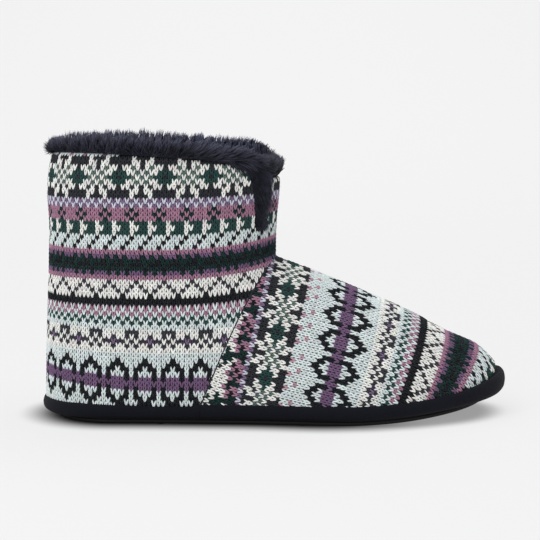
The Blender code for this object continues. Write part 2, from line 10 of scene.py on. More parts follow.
import bpy
import numpy as np
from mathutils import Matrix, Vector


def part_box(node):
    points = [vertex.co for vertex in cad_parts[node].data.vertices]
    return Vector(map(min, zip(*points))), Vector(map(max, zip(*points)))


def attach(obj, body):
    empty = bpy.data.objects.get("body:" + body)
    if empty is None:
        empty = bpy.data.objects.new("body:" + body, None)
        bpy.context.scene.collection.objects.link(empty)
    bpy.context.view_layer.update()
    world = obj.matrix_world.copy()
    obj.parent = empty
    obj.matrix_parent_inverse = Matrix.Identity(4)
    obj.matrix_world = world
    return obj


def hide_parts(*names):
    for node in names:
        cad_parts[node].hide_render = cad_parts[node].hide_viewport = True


bl_info = {
    "name": "Knitted bootie slipper",
    "version": (1, 0, 0),
    "blender": (4, 5, 0),
    "location": "3D View > Sidebar > Slipper",
    "description": "Builds the knit, fur, sole and stage of an ankle bootie slipper",
    "category": "Object",
}

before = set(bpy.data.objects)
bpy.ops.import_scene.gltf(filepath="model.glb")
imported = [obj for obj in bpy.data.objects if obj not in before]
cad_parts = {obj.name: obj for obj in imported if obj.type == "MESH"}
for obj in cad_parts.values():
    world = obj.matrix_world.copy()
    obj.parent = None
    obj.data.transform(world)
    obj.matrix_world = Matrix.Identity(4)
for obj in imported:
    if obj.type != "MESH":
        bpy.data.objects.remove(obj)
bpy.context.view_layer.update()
MM = 0.001

# Sole.
SOLE_LENGTH = 262.0 * MM
HEEL_WIDTH = 76.0 * MM
WAIST_WIDTH = 74.0 * MM
BALL_WIDTH = 96.0 * MM
TOE_WIDTH = 90.0 * MM
TOE_SWING = 6.0 * MM
WAIST_SWING = -4.5 * MM
HEEL_ROUND = 41.0 * MM
TOE_ROUND = 66.0 * MM
ROUND_POWER = 2.15
OUTSOLE_THICKNESS = 3.0 * MM
MIDSOLE_THICKNESS = 8.0 * MM
TOE_SPRING = 10.0 * MM
SPRING_START = 167.0 * MM
SPRING_POWER = 1.75
TOE_LIP = 4.0 * MM
LIP_START = 224.0 * MM
LIP_POWER = 1.5
OUTSOLE_STEP = 0.9 * MM
RIM_INSETS = (3.4 * MM, 9.0 * MM, 13.0 * MM)
INSOLE_INSETS = (6.6 * MM, 6.2 * MM, 11.0 * MM)
INSOLE_THICKNESS = 4.0 * MM
INSOLE_CROWN = 1.4 * MM
MIDSOLE_BULGE = 2.4 * MM
GAP = 0.3 * MM
BAND_JOIN_X = 90.0 * MM
BAND_JOIN_WIDTH = 0.5 * MM
BOX_INSET = 0.048 * MM
SOLE_STATIONS = 150
STUD_INSET = 8.4 * MM
STUD_END = 9.0 * MM
STUD_ROWS = 8
STUD_COLUMNS = 40
HEXAGON = 0.866

# Upper.
WALL = 3.0 * MM
UPPER_INSETS = (2.2 * MM, 1.8 * MM, 4.9 * MM)
THROAT_HEIGHT = 88.8 * MM
THROAT_X = 131.4 * MM
TOE_TOP_HEIGHT = 24.0 * MM
SHAFT_WIDTH = 90.0 * MM
SHAFT_BACK_X = 4.3 * MM
COLLAR_HEIGHT = 147.0 * MM
SHAFT_POWER = 2.15
VAMP_POWER = 2.2
VAMP_ROOT = 0.5
VAMP_LEAST = 0.5 * MM
BLEND_HEEL = 4.0 * MM
BLEND_THROAT = 15.0 * MM
SEAM_DEPTH = 0.9 * MM
SEAM_WIDTH = 9.0 * MM
SEAM_SOLE_X = 90.5 * MM
SEAM_BOW = 0.75
SEAM_FADE = 10.0 * MM
SEAM_SQUARE = np.array([0.84, 0.0, -0.54])
SEAM_CORD_RADIUS = 0.42 * MM
SEAM_CORD_ENDS = (1.0 * MM, 1.2 * MM)
SEAM_CORD_CREST = (0.4 * MM, 0.6 * MM)
SEAM_OVER_THROAT = 4.0 * MM
SLIT_X = 123.2 * MM
SLIT_GAP = 8.5 * MM
SLIT_BOTTOM = 105.0 * MM
SLIT_CORNER = 8.0 * MM
SLIT_TAPER = (1.0 * MM, 0.9 * MM)
SLIT_TAPER_HEIGHT = 30.0 * MM
SLIT_FRONT_CORNER = 4.2 * MM
SLIT_SLANT = 1.35
SLIT_BACK_REACH = 30.0 * MM
SLIT_FOOT_BELOW = 1.0 * MM
SLIT_FOOT_ABOVE = 0.8 * MM
SHAFT_MIDDLE_X = 63.0 * MM

# The slipper's sides, as the places of their values in a pair, and how each side keeps off the middle.
OUTER, INNER = 0, 1
SIDE_LIMITS = (np.minimum, np.maximum)

# The stage. The camera's focal length is given in pixels of a square view.
# The painted contact shadow on the floor: deeper and wider where the sole is flat, less under the lifted
# toe.
CONTACT_LIFT_X = 150.0 * MM
CONTACT_LIFT_LENGTH = 75.0 * MM
CONTACT_LIFT_SHARE = 0.48
CONTACT_REACH = 27.0 * MM
CONTACT_LIFT_REACH = 17.0 * MM
CONTACT_START = 1.0 * MM
FLOOR_FRONT = -4.0
FLOOR_HALF_WIDTHS = (1.0, 5.0)
FLOOR_BEND_START = 1.2
FLOOR_BEND_RADIUS = 0.9
FLOOR_TOP = 4.0
FINE_FLOOR_DEPTH = 100.0 * MM
FINE_FLOOR_WIDTH = 180.0 * MM
LAMPS = (
    # setting that gives its power, place, aim, width and spread of the light
    ("key", (-0.6, -1.25, 0.95), (0.0, 0.0, 0.05), 1.3, math.pi),
    ("top", (0.1, 0.25, 1.6), (0.0, 0.0, 0.05), 1.7, math.pi),
    ("backdrop", (0.0, 1.3, 1.8), (0.0, 1.8, 0.2), 1.4, 1.2),
)
SENSOR_WIDTH = 36.0
FOCAL_PIXELS = 2054.0
PHOTO_PIXELS = 540.0
VIEW_X = 128.35 * MM
VIEW_DEPTH = 20.0
SKY_COLOUR = (0.985, 0.99, 1.0, 1.0)

SOLE_SECTIONS = (
    # share of the length, width, sideways shift of its middle
    (0.00, HEEL_WIDTH, 0.0),
    (0.16, HEEL_WIDTH, 0.2 * WAIST_SWING),
    (0.42, WAIST_WIDTH, WAIST_SWING),
    (0.70, BALL_WIDTH, 0.0),
    (0.88, TOE_WIDTH, 0.65 * TOE_SWING),
    (1.00, TOE_WIDTH, TOE_SWING),
)
SHAFT_SECTIONS = (
    # share of the collar height, back and front line as shares of the shaft's depth, width share
    (0.00, -0.021, 1.000, 0.80),
    (0.34, -0.012, 1.000, 0.90),
    (0.60, 0.000, 1.000, 0.965),
    (0.75, 0.003, 1.005, 0.985),
    (0.86, -0.004, 1.017, 1.000),
    (0.94, 0.004, 1.021, 1.000),
    (1.10, 0.048, 0.999, 0.965),
)
RIDGE_SECTIONS = (
    # share of the height from toe top to throat, share of the vamp's length from the toe
    (0.00, 0.000),
    (0.057, 0.009),
    (0.12, 0.037),
    (0.215, 0.092),
    (0.33, 0.226),
    (0.50, 0.385),
    (0.72, 0.638),
    (0.885, 0.840),
    (1.00, 1.000),
    (1.95, 2.120),
)
COLLAR_SECTIONS = (
    # share of the shaft's depth, height of the knit's edge on the outer and on the inner side
    (0.00, 147.2 * MM, 147.2 * MM),
    (0.10, 148.2 * MM, 148.2 * MM),
    (0.25, 148.3 * MM, 148.4 * MM),
    (0.50, 146.7 * MM, 147.0 * MM),
    (0.70, 144.8 * MM, 145.4 * MM),
    (0.85, 140.8 * MM, 143.3 * MM),
    (0.94, 136.7 * MM, 140.1 * MM),
    (1.00, 133.2 * MM, 133.2 * MM),
)
MIDSOLE_SIDE = (
    # share of the thickness, share of the bulge by which it is set in
    (0.00, 1.00),
    (0.12, 0.42),
    (0.38, 0.02),
    (0.66, 0.06),
    (0.88, 0.40),
    (1.00, 0.85),
)
OUTSOLE_SIDE = (
    # share of the thickness, share of the step by which it is set in
    (1.00, 0.8),
    (0.72, 0.8),
    (0.64, 0.1),
    (0.45, 0.0),
    (0.25, 0.0),
    (0.08, 0.3),
    (0.00, 1.0),
)
OUTSOLE_RECESS = (
    # inset, share of the tread's depth
    (4.2 * MM, 0.00),
    (4.7 * MM, 0.15),
    (5.2 * MM, 1.00),
)
STUD_SECTIONS = (
    # radius as a share of the pitch, share of the tread's depth, height over that
    (0.40, 1.00, 0.3 * MM),
    (0.40, 0.25, 0.0),
    (0.34, 0.00, 0.0),
)
BAND_TOP = (
    # inset from the side's edge, share by which the ring is drawn to the middle
    (0.075 * MM, 1.0),
    (0.5 * MM, 0.9),
)
INSOLE_SIDE = (
    # share of the thickness, inset
    (0.00, 0.80 * MM),
    (0.25, 0.15 * MM),
    (0.55, 0.00),
    (0.82, 0.35 * MM),
    (1.00, 1.20 * MM),
)

# The fur.
RIM_SECTION = (
    # turn from the outer foot of the pile over its top to the inner foot, out, up
    (0.00, -1.8 * MM, 0.6 * MM),
    (0.14, 0.9 * MM, 1.4 * MM),
    (0.30, 1.2 * MM, 3.8 * MM),
    (0.45, -0.6 * MM, 5.3 * MM),
    (0.60, -4.2 * MM, 5.2 * MM),
    (0.75, -7.2 * MM, 3.0 * MM),
    (0.88, -8.4 * MM, -1.5 * MM),
    (1.00, -8.2 * MM, -6.0 * MM),
)
RIM_STATIONS = 720
RIM_BELOW = 4.0 * MM
RIM_CORNER_DROP = 0.3
FUR_FRONT_RISE = 3.2 * MM
PILE_GIRTH = 24.0 * MM
LOCKS = 1009
DARKEST_HAIR = 0.04
THINNEST_HAIR = 0.22 * MM
FUR_ZONES = {
    # zone: x at which it starts, length over which it grows to its full share
    "sweep": (55.0 * MM, 60.0 * MM),
    "dive": (98.0 * MM, 20.0 * MM),
    "dive_end": (129.5 * MM, -3.0 * MM),
    "fore": (112.0 * MM, 16.0 * MM),
    "heel": (16.0 * MM, -16.0 * MM),
    "near": (15.0 * MM, 25.0 * MM),
    "back": (9.0 * MM, -9.0 * MM),
    "body_front": (100.0 * MM, 28.0 * MM),
    "body_back": (14.0 * MM, -14.0 * MM),
}
COLLAR_LEAN = (
    # plain share, then what is added in the zones heel, fore, dive, near sweep and sweep
    (0.58, 0.50, -0.25, 0.0, 0.0, 0.0),
    (0.66, -0.40, 0.0, -1.60, 0.0, 0.0),
    (0.04, 0.0, 0.0, 0.0, 0.80, 0.0),
)
COLLAR_BEND = (
    # the same for the bend; rows in both are out of the pile, up and forward
    (-0.12, 0.0, 0.0, 0.0, 0.0, 0.0),
    (0.0, 0.0, 0.0, -0.30, 0.0, 0.0),
    (0.0, 0.0, 0.0, 0.0, 0.0, 0.16),
)
SLIT_HAIRS = 2000
SLIT_HAIR_FOOT = 3.5 * MM
SLIT_HAIR_SPAN = 33.5 * MM
SLIT_HAIR_SINK = 1.3 * MM
SLIT_HAIR_LENGTHS = (4.6 * MM, 3.8 * MM)
SLIT_UPPER_START = 112.0 * MM
SLIT_UPPER_LENGTH = 20.0 * MM
SLIT_LOWER_LENGTH = 9.0 * MM
SLIT_PILE_TOP = 141.0 * MM
SLIT_PILE_DEPTHS = (1.4 * MM, 3.8 * MM)

# The knit: courses are counted from the collar down, and on the vamp from the toe to the throat.
WALES_ROUND = 140
QUARTER_COURSES = 57
STITCH_WIDTH = 2.54 * MM
STITCH_HEIGHT = 2.58 * MM
VAMP_STITCH_WIDTH = 2.6 * MM
FIRST_VAMP_COURSE = 15
LAST_VAMP_COURSE = 84
VAMP_WALES = 41
FOLD_RADIUS = 1.3 * MM
FOLD_TURN = 1.9
COLLAR_ROLL = 3.2 * MM
KNIT_SINK = 0.35 * MM
KNIT_UNDER_BAND = 1.2 * MM
TALL_COURSE = 32
TALL_SHARE = (0.4, 0.9)
SHAFT_COURSES = 24
BACKING_THICKNESS = 0.5 * MM
LINING_THICKNESS = 0.8 * MM
LINING_TOP = 1.97
LINING_ROWS = (26, 16)
LINING_COLUMNS = 160
SHEET_STEP = 0.25
LINE_SAMPLES = 1400
VAMP_SAMPLES = 1200
WALL_SAMPLES = 800
RIM_SAMPLES = 900
LEVELS = np.arange(-2.0, 162.0) * MM
RUNS = np.arange(0.0, 200.0, 0.5) * MM
EVEN_WALES_RISE = 8.0 * MM
FRONT_RISE_POWER = 2.5
BACK_RISE_POWER = 1.5
VAMP_SIDE_DROP = 20.0 * MM
VAMP_UNDER_BAND = 9.0 * MM
THROAT_BLEND_START = 66.5
THROAT_BLEND_COURSES = 5.0
LEG_AWAY = 0.405
LEG_SWING = 0.325
LEG_TOP = -0.42
LEG_REACH = 1.64
LEG_RADIUS = 0.212
LEG_FLATNESS = 0.85
LEG_SINK = -0.55
LEG_RISE = 1.05
LEG_ARCH = (0.12, 0.62)
# Painted shade on a stitch's legs: a base, how much lighter the top and darker the underside, and the ends.
LEG_PAINTED_SHADES = (0.74, 0.34)
LEG_END_PAINTED_SHADE = 0.6
YARN_SHADES = (0.88, 1.06)
YARN_TINTS = (-0.02, 0.02)
# The backing's share of the yarn's colour: painted shade in the gaps between the stitches.
BACKING_PAINTED_SHADE = 0.25
STITCH_LEG = (
    # share of the way down a leg, share of its full radius
    (0.00, 0.00),
    (0.20, 0.90),
    (0.52, 1.00),
    (0.84, 0.72),
    (1.00, 0.00),
)

COURSE_HEIGHTS = (
    # place down the quarter in courses, height on its side, rise at the front, rise at the back
    (-1.0, 153.3 * MM, 0.8 * MM, -1.2 * MM),
    (10.0, 124.9 * MM, 1.8 * MM, -1.2 * MM),
    (15.0, 112.6 * MM, 2.6 * MM, -1.0 * MM),
    (21.0, 96.9 * MM, 5.3 * MM, -0.2 * MM),
    (28.0, 80.2 * MM, 5.8 * MM, -0.4 * MM),
    (32.0, 70.2 * MM, 5.8 * MM, -0.2 * MM),
    (33.4, 65.5 * MM, 4.8 * MM, 0.1 * MM),
    (37.4, 55.0 * MM, 3.0 * MM, 1.5 * MM),
    (44.4, 36.9 * MM, 0.4 * MM, 2.2 * MM),
    (49.9, 22.2 * MM, 0.0, 5.4 * MM),
    (58.4, -0.5 * MM, 0.0, 7.0 * MM),
)
VAMP_COURSES = (
    # course, place of its top on the vamp's line, how far it leans back for each length down
    (14.0, 257.0 * MM, 0.60),
    (16.0, 255.4 * MM, 0.60),
    (18.0, 252.7 * MM, 0.60),
    (20.0, 249.2 * MM, 0.60),
    (21.5, 245.5 * MM, 0.60),
    (24.5, 237.2 * MM, 0.53),
    (27.5, 228.6 * MM, 0.42),
    (32.7, 216.0 * MM, 0.375),
    (36.9, 206.3 * MM, 0.34),
    (41.4, 197.2 * MM, 0.31),
    (50.4, 174.4 * MM, 0.265),
    (65.4, 141.7 * MM, 0.262),
    (73.4, 123.2 * MM, 0.25),
    (86.5, 92.0 * MM, 0.25),
)

# The yarns and the drawn pattern. Each row of a band is one repeat of a course.
YARNS = {
    # letter in the pattern: name, red, green and blue in linear light
    "K": ("charcoal", 0.0088, 0.0102, 0.0135),
    "W": ("cream", 0.80, 0.800, 0.770),
    "I": ("ice", 0.665, 0.735, 0.735),
    "G": ("green", 0.0062, 0.0260, 0.0245),
    "g": ("sage", 0.100, 0.150, 0.135),
    "U": ("plum", 0.162, 0.094, 0.180),
    "R": ("rose", 0.350, 0.180, 0.262),
    "L": ("lilac", 0.600, 0.610, 0.690),
    "D": ("grey", 0.038, 0.038, 0.048),
    "P": ("dusk", 0.048, 0.037, 0.062),
    "C": ("coal", 0.0240, 0.0255, 0.0320),
    "T": ("teal", 0.0190, 0.0560, 0.0520),
    "V": ("heather", 0.185, 0.128, 0.225),
    "B": ("blush", 0.470, 0.280, 0.340),
}
BANDS = (
    # first column of a repeat on the quarter and on the vamp, courses from the collar side down
    (0, 0, ("IIIRIIIIUIIIIR",)),
    (6, 1, ("CCCWCCCWCC", "CCCWWCWWCC", "CWWgWCWgWW", "TTWWgWgWWT", "CTTgWgWgTT",
            "TTWWgWgWWT", "CWWDWCWDWW", "CCCWWCWWCC", "CCCWCCCWCC")),
    (0, 0, ("LV", "VL")),
    (5, 4, ("GRRRRR", "RGRRRG", "GRRRRR")),
    (1, 2, ("WTTT", "WWTT", "WTTT")),
    (1, 3, ("KIII", "IIIK", "IIKI")),
    (5, 0, ("R", "UUGUGUGU", "GKGGGKGG", "KKGKKKGK", "GGKGGGKG", "UUGUGUGU", "R")),
    (2, 1, ("WWWDWW", "WWDWDW", "WDWWWD", "KWWWWW")),
    (0, 0, ("K",)),
    (0, 0, ("IR", "RI")),
    (0, 0, ("IT", "TI")),
    (4, 0, ("I", "DDWWWWWD", "WDWWDWWD", "DWDPVPDW", "WDWWDWWD")),
    (0, 0, ("W", "I")),
    (1, 2, ("KIIIII", "KKIIIK", "IKKIKK", "IIKIKI", "UUKUKU", "UUUUUU",
            "UUKUKU", "IIKIKI", "IKKIKK", "KKIIIK", "KIIIII")),
    (0, 0, ("I", "I", "IBIIIBIIBI", "I", "IIBIIIBIIB")),
)
THROAT_COURSE = 69
THROAT_ROWS = (
    # the vamp's last courses, beside its seam
    "VL", "RRKRGRRGKG", "RKRGGRKGGR", "KRGRKGRRGW", "WWRWWRWWGG", "GWWWWWWGGG", "WGWWWWWWWG",
    "GWWWWWGWGW", "WRWWWGWGWW", "GWWUWGGWWG", "GGIUWGWWIG", "IGGWWGUWIG", "IIGWGWUWGI", "IIWWGWWWGI",
    "IGWWWGWWGG", "GGWWUWWGIG",
)


# Sums that several pieces share.


def smooth(share):
    """0 to 1 with level ends: 3 s squared minus 2 s cubed."""
    share = np.clip(share, 0.0, 1.0)
    return share * share * (3.0 - 2.0 * share)


def zone(name, x):
    """Share of a zone of the fur at x: smooth over the zone's length from its start."""
    start, length = FUR_ZONES[name]
    return smooth((x - start) / length)


def curve(rows, column, at):
    """Cubic Hermite curve through one column of a table over its first column."""
    places, values = np.array([(row[0], row[column]) for row in rows], float).T
    slopes = np.gradient(values, places)
    at = np.clip(at, places[0], places[-1])
    span = np.clip(np.searchsorted(places, at, side="right") - 1, 0, len(places) - 2)
    width = places[span + 1] - places[span]
    t = (at - places[span]) / width
    start = t * (1.0 - t) ** 2 * width * slopes[span]
    end = t * t * (t - 1.0) * width * slopes[span + 1]
    return values[span] + (values[span + 1] - values[span]) * smooth(t) + start + end


def unit(vectors):
    """Vectors over their lengths."""
    return vectors / (np.linalg.norm(vectors, axis=-1, keepdims=True) + 1e-12)


def half_turn(count):
    """0 to 1 in steps that are short at both ends: half of 1 minus the cosine of an even half turn."""
    return (1.0 - np.cos(np.linspace(0.0, math.pi, count))) / 2.0


def run_of(*coordinates):
    """Length along lines of points from their start: the sum of the distances between neighbours."""
    steps = np.sqrt(sum(np.diff(values) ** 2 for values in coordinates))
    return np.concatenate([np.zeros_like(steps[..., :1]), np.cumsum(steps, axis=-1)], axis=-1)


def evenly(line, count):
    """Points at even runs along one line of points."""
    run = run_of(*line.T)
    at = np.linspace(0.0, run[-1], count)
    return np.column_stack([np.interp(at, run, values) for values in line.T])


def closed_loop(outer, inner):
    """A loop forward along the outer side and back along the inner side, each end once."""
    return np.concatenate([outer, inner[1:-1][::-1]])


def copies(faces, count, size):
    """Faces of a repeated shape with size points, one set for each copy."""
    return (faces[None] + (np.arange(count) * size)[:, None, None]).reshape(-1, 3)


def own_cells(local, count, margin):
    """Bake coordinates of copies: each has a square cell to itself, and keeps a margin inside it."""
    cells = math.ceil(math.sqrt(count))
    number = np.arange(count)
    corner = np.column_stack([number % cells, number // cells]).repeat(len(local), axis=0)
    return (corner + margin + (1.0 - 2.0 * margin) * np.tile(local, (count, 1))) / cells


def fan(first, count, heart):
    """Triangles from each side of a ring of points to the point that closes it."""
    j = np.arange(count)
    return np.column_stack([first + j, first + (j + 1) % count, np.full(count, heart)])


# Shape of the slipper.


def round_end(share, power):
    """Superellipse end: the power-th root of 1 minus (1 - share) to the power, negative past the tip."""
    inside = 1.0 - np.clip(share, -1.0, 1.0)
    full = np.abs(1.0 - inside ** power) ** (1.0 / power)
    return np.where(share < 0.0, -full, full)


def softer_of(a, b, radius):
    """Larger of two values plus a quarter of the radius times the squared nearness of the two."""
    near = np.clip(radius - np.abs(a - b), 0.0, None) / radius
    return np.maximum(a, b) + near * near * radius * 0.25


def spring(x):
    """Toe spring: its height times a power of the share of the way from its start to the toe."""
    share = np.clip((x - SPRING_START) / (SOLE_LENGTH - SPRING_START), 0.0, 1.0)
    return TOE_SPRING * share ** SPRING_POWER


def midsole_top(x):
    """Top of the band: both thicknesses, the toe spring and the toe's lip."""
    share = np.clip((x - LIP_START) / (SOLE_LENGTH - LIP_START), 0.0, 1.0)
    return OUTSOLE_THICKNESS + MIDSOLE_THICKNESS + spring(x) + TOE_LIP * share ** LIP_POWER


def outline(x, insets):
    """Outer and inner edge of the sole: half its width times the nearer round end, about its middle."""
    side, heel_inset, toe_inset = insets
    share = x / SOLE_LENGTH
    middle = curve(SOLE_SECTIONS, 2, share)
    heel = round_end((x - heel_inset) / (HEEL_ROUND - heel_inset), ROUND_POWER)
    toe = round_end((SOLE_LENGTH - toe_inset - x) / (TOE_ROUND - toe_inset), ROUND_POWER)
    half = (0.5 * curve(SOLE_SECTIONS, 1, share) - side) * np.minimum(heel, toe)
    return middle - half, middle + half


def shaft(z):
    """Back line, front line and half width of the shaft's tube at each height."""
    share = z / COLLAR_HEIGHT
    depth = THROAT_X - SHAFT_BACK_X
    back = SHAFT_BACK_X + depth * curve(SHAFT_SECTIONS, 1, share)
    front = SHAFT_BACK_X + depth * curve(SHAFT_SECTIONS, 2, share)
    return back, front, 0.5 * SHAFT_WIDTH * curve(SHAFT_SECTIONS, 3, share)


RIDGE_SHARES = np.linspace(0.0, RIDGE_SECTIONS[-1][0], 400)
RIDGE_Z = TOE_TOP_HEIGHT + (THROAT_HEIGHT - TOE_TOP_HEIGHT) * RIDGE_SHARES
RIDGE_X = (SOLE_LENGTH - UPPER_INSETS[2]) - (SOLE_LENGTH - UPPER_INSETS[2] - THROAT_X) * curve(
    RIDGE_SECTIONS, 1, RIDGE_SHARES)


def ridge_height(x):
    """Height of the foot's middle line, read in straight lines between its points."""
    return np.interp(x, RIDGE_X[::-1], RIDGE_Z[::-1])


def ridge_side(x):
    """Sideways place of the middle line: the toe's swing times the smooth share of the way to the toe."""
    return TOE_SWING * smooth((x - THROAT_X) / (SOLE_LENGTH - THROAT_X))


def seam_line(z):
    """x of the seam between vamp and quarter: its share of the height down, bowed by a power."""
    share = (THROAT_HEIGHT - z) / (THROAT_HEIGHT - midsole_top(SEAM_SOLE_X))
    return THROAT_X - (THROAT_X - SEAM_SOLE_X) * np.clip(share, 0.0, 1.2) ** SEAM_BOW


def foot_half(x, z):
    """Half widths of the foot alone, outer and inner, as a superellipse arch over the sole."""
    back = shaft(z)[0]
    outer, inner = outline(x - (back - UPPER_INSETS[1]), UPPER_INSETS)
    low = midsole_top(x)
    share = (z - low) / np.maximum(ridge_height(x) - low, VAMP_LEAST)
    arched = np.sign(1.0 - share) * np.abs(1.0 - np.abs(share) ** VAMP_POWER) ** VAMP_ROOT
    top = ridge_side(x)
    return (top - outer) * arched - top, (inner - top) * arched + top


def sides(x, z):
    """Outer and inner y of the skin: the softer of foot and tube, less the seam's bell-shaped trough."""
    back, front, half = shaft(z)
    along = (2.0 * x - back - front) / (front - back)
    tube = half * round_end(1.0 - np.abs(along), SHAFT_POWER)
    outer, inner = foot_half(x, z)
    away = (x - seam_line(z)) / (0.5 * SEAM_WIDTH)
    trough = SEAM_DEPTH * np.exp(-away * away) * np.clip((THROAT_HEIGHT - z) / SEAM_FADE, 0.0, 1.0)
    forward = np.clip((x - back) / (THROAT_X - back), 0.0, 1.0)
    radius = BLEND_HEEL + (BLEND_THROAT - BLEND_HEEL) * forward ** 2
    return trough - softer_of(outer, tube, radius), softer_of(inner, tube, radius) - trough


def collar_edge(x, outer):
    """Height of the knit's edge; outer is true on the outer side."""
    share = (x - SHAFT_BACK_X) / (THROAT_X - SHAFT_BACK_X)
    return np.where(outer, curve(COLLAR_SECTIONS, 1, share), curve(COLLAR_SECTIONS, 2, share))


def to_frame(points):
    """Points moved so that the origin lies under the middle of the slipper's box."""
    low = np.array(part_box("midsole")[0])
    wide = outline(np.linspace(0.1, 0.95, 500) * SOLE_LENGTH, (BOX_INSET,) * 3)[OUTER].min()
    return points + np.array([low[0] - BOX_INSET, low[1] - wide, 0.0])


# Sheets: tables of points over two evenly spaced parameters.


class Sheet:
    """A surface sampled on an even grid, read between its samples in straight lines."""

    def __init__(self, points, first, step):
        self.points, self.first, self.step = points, first, step
        self.normals = unit(np.cross(np.gradient(points, axis=0), np.gradient(points, axis=1)))

    def read(self, table, course, wale):
        """Values of a table at places between its samples, weighted by nearness to the four round them."""
        i = np.clip((course - self.first[0]) / self.step, 0.0, table.shape[0] - 1.001)
        j = np.clip((wale - self.first[1]) / self.step, 0.0, table.shape[1] - 1.001)
        a, b = i.astype(int), j.astype(int)
        s, t = (i - a)[..., None], (j - b)[..., None]
        near = table[a, b] * (1.0 - t) + table[a, b + 1] * t
        far = table[a + 1, b] * (1.0 - t) + table[a + 1, b + 1] * t
        return near * (1.0 - s) + far * s

    def at(self, course, wale):
        """Points and unit normals."""
        return self.read(self.points, course, wale), unit(self.read(self.normals, course, wale))


def level_curves(levels, side):
    """For each height: x, y and run of points along the skin from the heel line forward."""
    back, front, _ = shaft(levels)
    closed = levels >= THROAT_HEIGHT
    end = np.where(closed, front, np.interp(levels, RIDGE_Z, RIDGE_X))
    x = back[:, None] + (end - back)[:, None] * half_turn(LINE_SAMPLES)
    y = sides(x, np.broadcast_to(levels[:, None], x.shape))[side]
    y[:, 0] = 0.0
    y[:, -1] = np.where(closed, 0.0, ridge_side(end))
    y = SIDE_LIMITS[side](y, 0.0)
    return x, y, run_of(x, y)


def quarter_sheet():
    """The quarter and shaft over courses and wales.

    A wale lies at an even share of the way round the shaft: heel line, outer side, front, inner side.
    Its run along the skin is looked up at the course's height, which rises at the front and the back.
    """
    tables, girths = [], []
    for side in (OUTER, INNER):
        lines = level_curves(LEVELS, side)
        tables.append([np.column_stack([np.interp(RUNS, run, x), np.interp(RUNS, run, y)])
                       for x, y, run in zip(*lines)])
        girths.append(lines[2][:, -1])
    tables = np.array(tables)
    closed = np.clip((LEVELS - THROAT_HEIGHT) / EVEN_WALES_RISE, 0.0, 1.0)
    half_round = WALES_ROUND / 2.0
    width = closed * np.mean(girths, axis=0) / half_round + (1.0 - closed) * STITCH_WIDTH
    course, wale = np.meshgrid(np.arange(-3.0, QUARTER_COURSES + 2.0, SHEET_STEP),
                               np.arange(-2.0, WALES_ROUND + 2.0, SHEET_STEP), indexing="ij")
    around = np.mod(wale, WALES_ROUND)
    side = np.where(around <= half_round, OUTER, INNER)
    steps_off = np.where(side == OUTER, around, WALES_ROUND - around)

    def look(z):
        """x and y on the skin at each wale's run and height z."""
        i = np.clip((z - LEVELS[0]) / (LEVELS[1] - LEVELS[0]), 0.0, len(LEVELS) - 1.001)
        a = i.astype(int)
        found = 0.0
        for row, weight in ((a, 1.0 - (i - a)), (a + 1, i - a)):
            j = np.clip(steps_off * width[row] / RUNS[1], 0.0, len(RUNS) - 1.001)
            b = j.astype(int)
            t = (j - b)[..., None]
            xy = tables[side, row, b] * (1.0 - t) + tables[side, row, b + 1] * t
            found = found + xy * weight[..., None]
        return found

    base, front_rise, back_rise = (curve(COURSE_HEIGHTS, column, course) for column in (1, 2, 3))
    xy = look(base)
    for _ in range(2):
        front = np.clip((xy[..., 0] - SHAFT_MIDDLE_X) / (THROAT_X - SHAFT_MIDDLE_X), 0.0, 1.0)
        front = front ** FRONT_RISE_POWER
        rear = np.clip(1.0 - xy[..., 0] / SHAFT_MIDDLE_X, 0.0, 1.0) ** BACK_RISE_POWER
        z = base + front_rise * front + back_rise * rear
        xy = look(z)
    return Sheet(np.concatenate([xy, z[..., None]], axis=2), (-3.0, -2.0), SHEET_STEP)


def vamp_sheet():
    """The vamp over courses and wales counted from its middle line, outer side first.

    A course lies in a plane leaning back from the vamp's line; a wale lies at an even run down it. The
    run is that of the whole skin, stretched to the bare foot's length, and at the throat the bare foot's.
    """
    courses = np.arange(FIRST_VAMP_COURSE - 1.0, LAST_VAMP_COURSE + 2.0, SHEET_STEP)
    wales = np.arange(0.0, VAMP_WALES + 3.0, SHEET_STEP)
    top_x = np.minimum(curve(VAMP_COURSES, 1, courses), SOLE_LENGTH - UPPER_INSETS[2] - 0.1 * MM)
    lean = curve(VAMP_COURSES, 2, courses)
    top_z = ridge_height(top_x)
    low = midsole_top(top_x - lean * (top_z - VAMP_SIDE_DROP)) - VAMP_UNDER_BAND
    z = top_z[:, None] - (top_z - low)[:, None] * np.linspace(0.0, 1.0, VAMP_SAMPLES) ** 2
    x = top_x[:, None] - lean[:, None] * (top_z[:, None] - z)
    below = z < midsole_top(x)
    at_throat = np.clip((courses - THROAT_BLEND_START) / THROAT_BLEND_COURSES, 0.0, 1.0)[:, None]
    halves = []
    for side, sign in ((OUTER, -1.0), (INNER, 1.0)):
        lines = [sign * foot_half(x, z)[side], sides(x, z)[side]]
        for y in lines:
            y[:, 0] = ridge_side(top_x)
            y[below] = outline(x, UPPER_INSETS)[side][below]
        bare, whole = (run_of(x, y, z) for y in lines)
        scaled = whole * (bare[:, -1:] / whole[:, -1:])
        run = scaled * (1.0 - at_throat) + bare * at_throat
        halves.append(np.array([np.column_stack([
            np.interp(wales * VAMP_STITCH_WIDTH, run[i], values[i]) for values in (x, lines[1], z)])
            for i in range(len(courses))]))
    points = np.concatenate([halves[INNER][:, :0:-1], halves[OUTER]], axis=1)
    return Sheet(points, (courses[0], -wales[-1]), SHEET_STEP)


# Knit stitches.


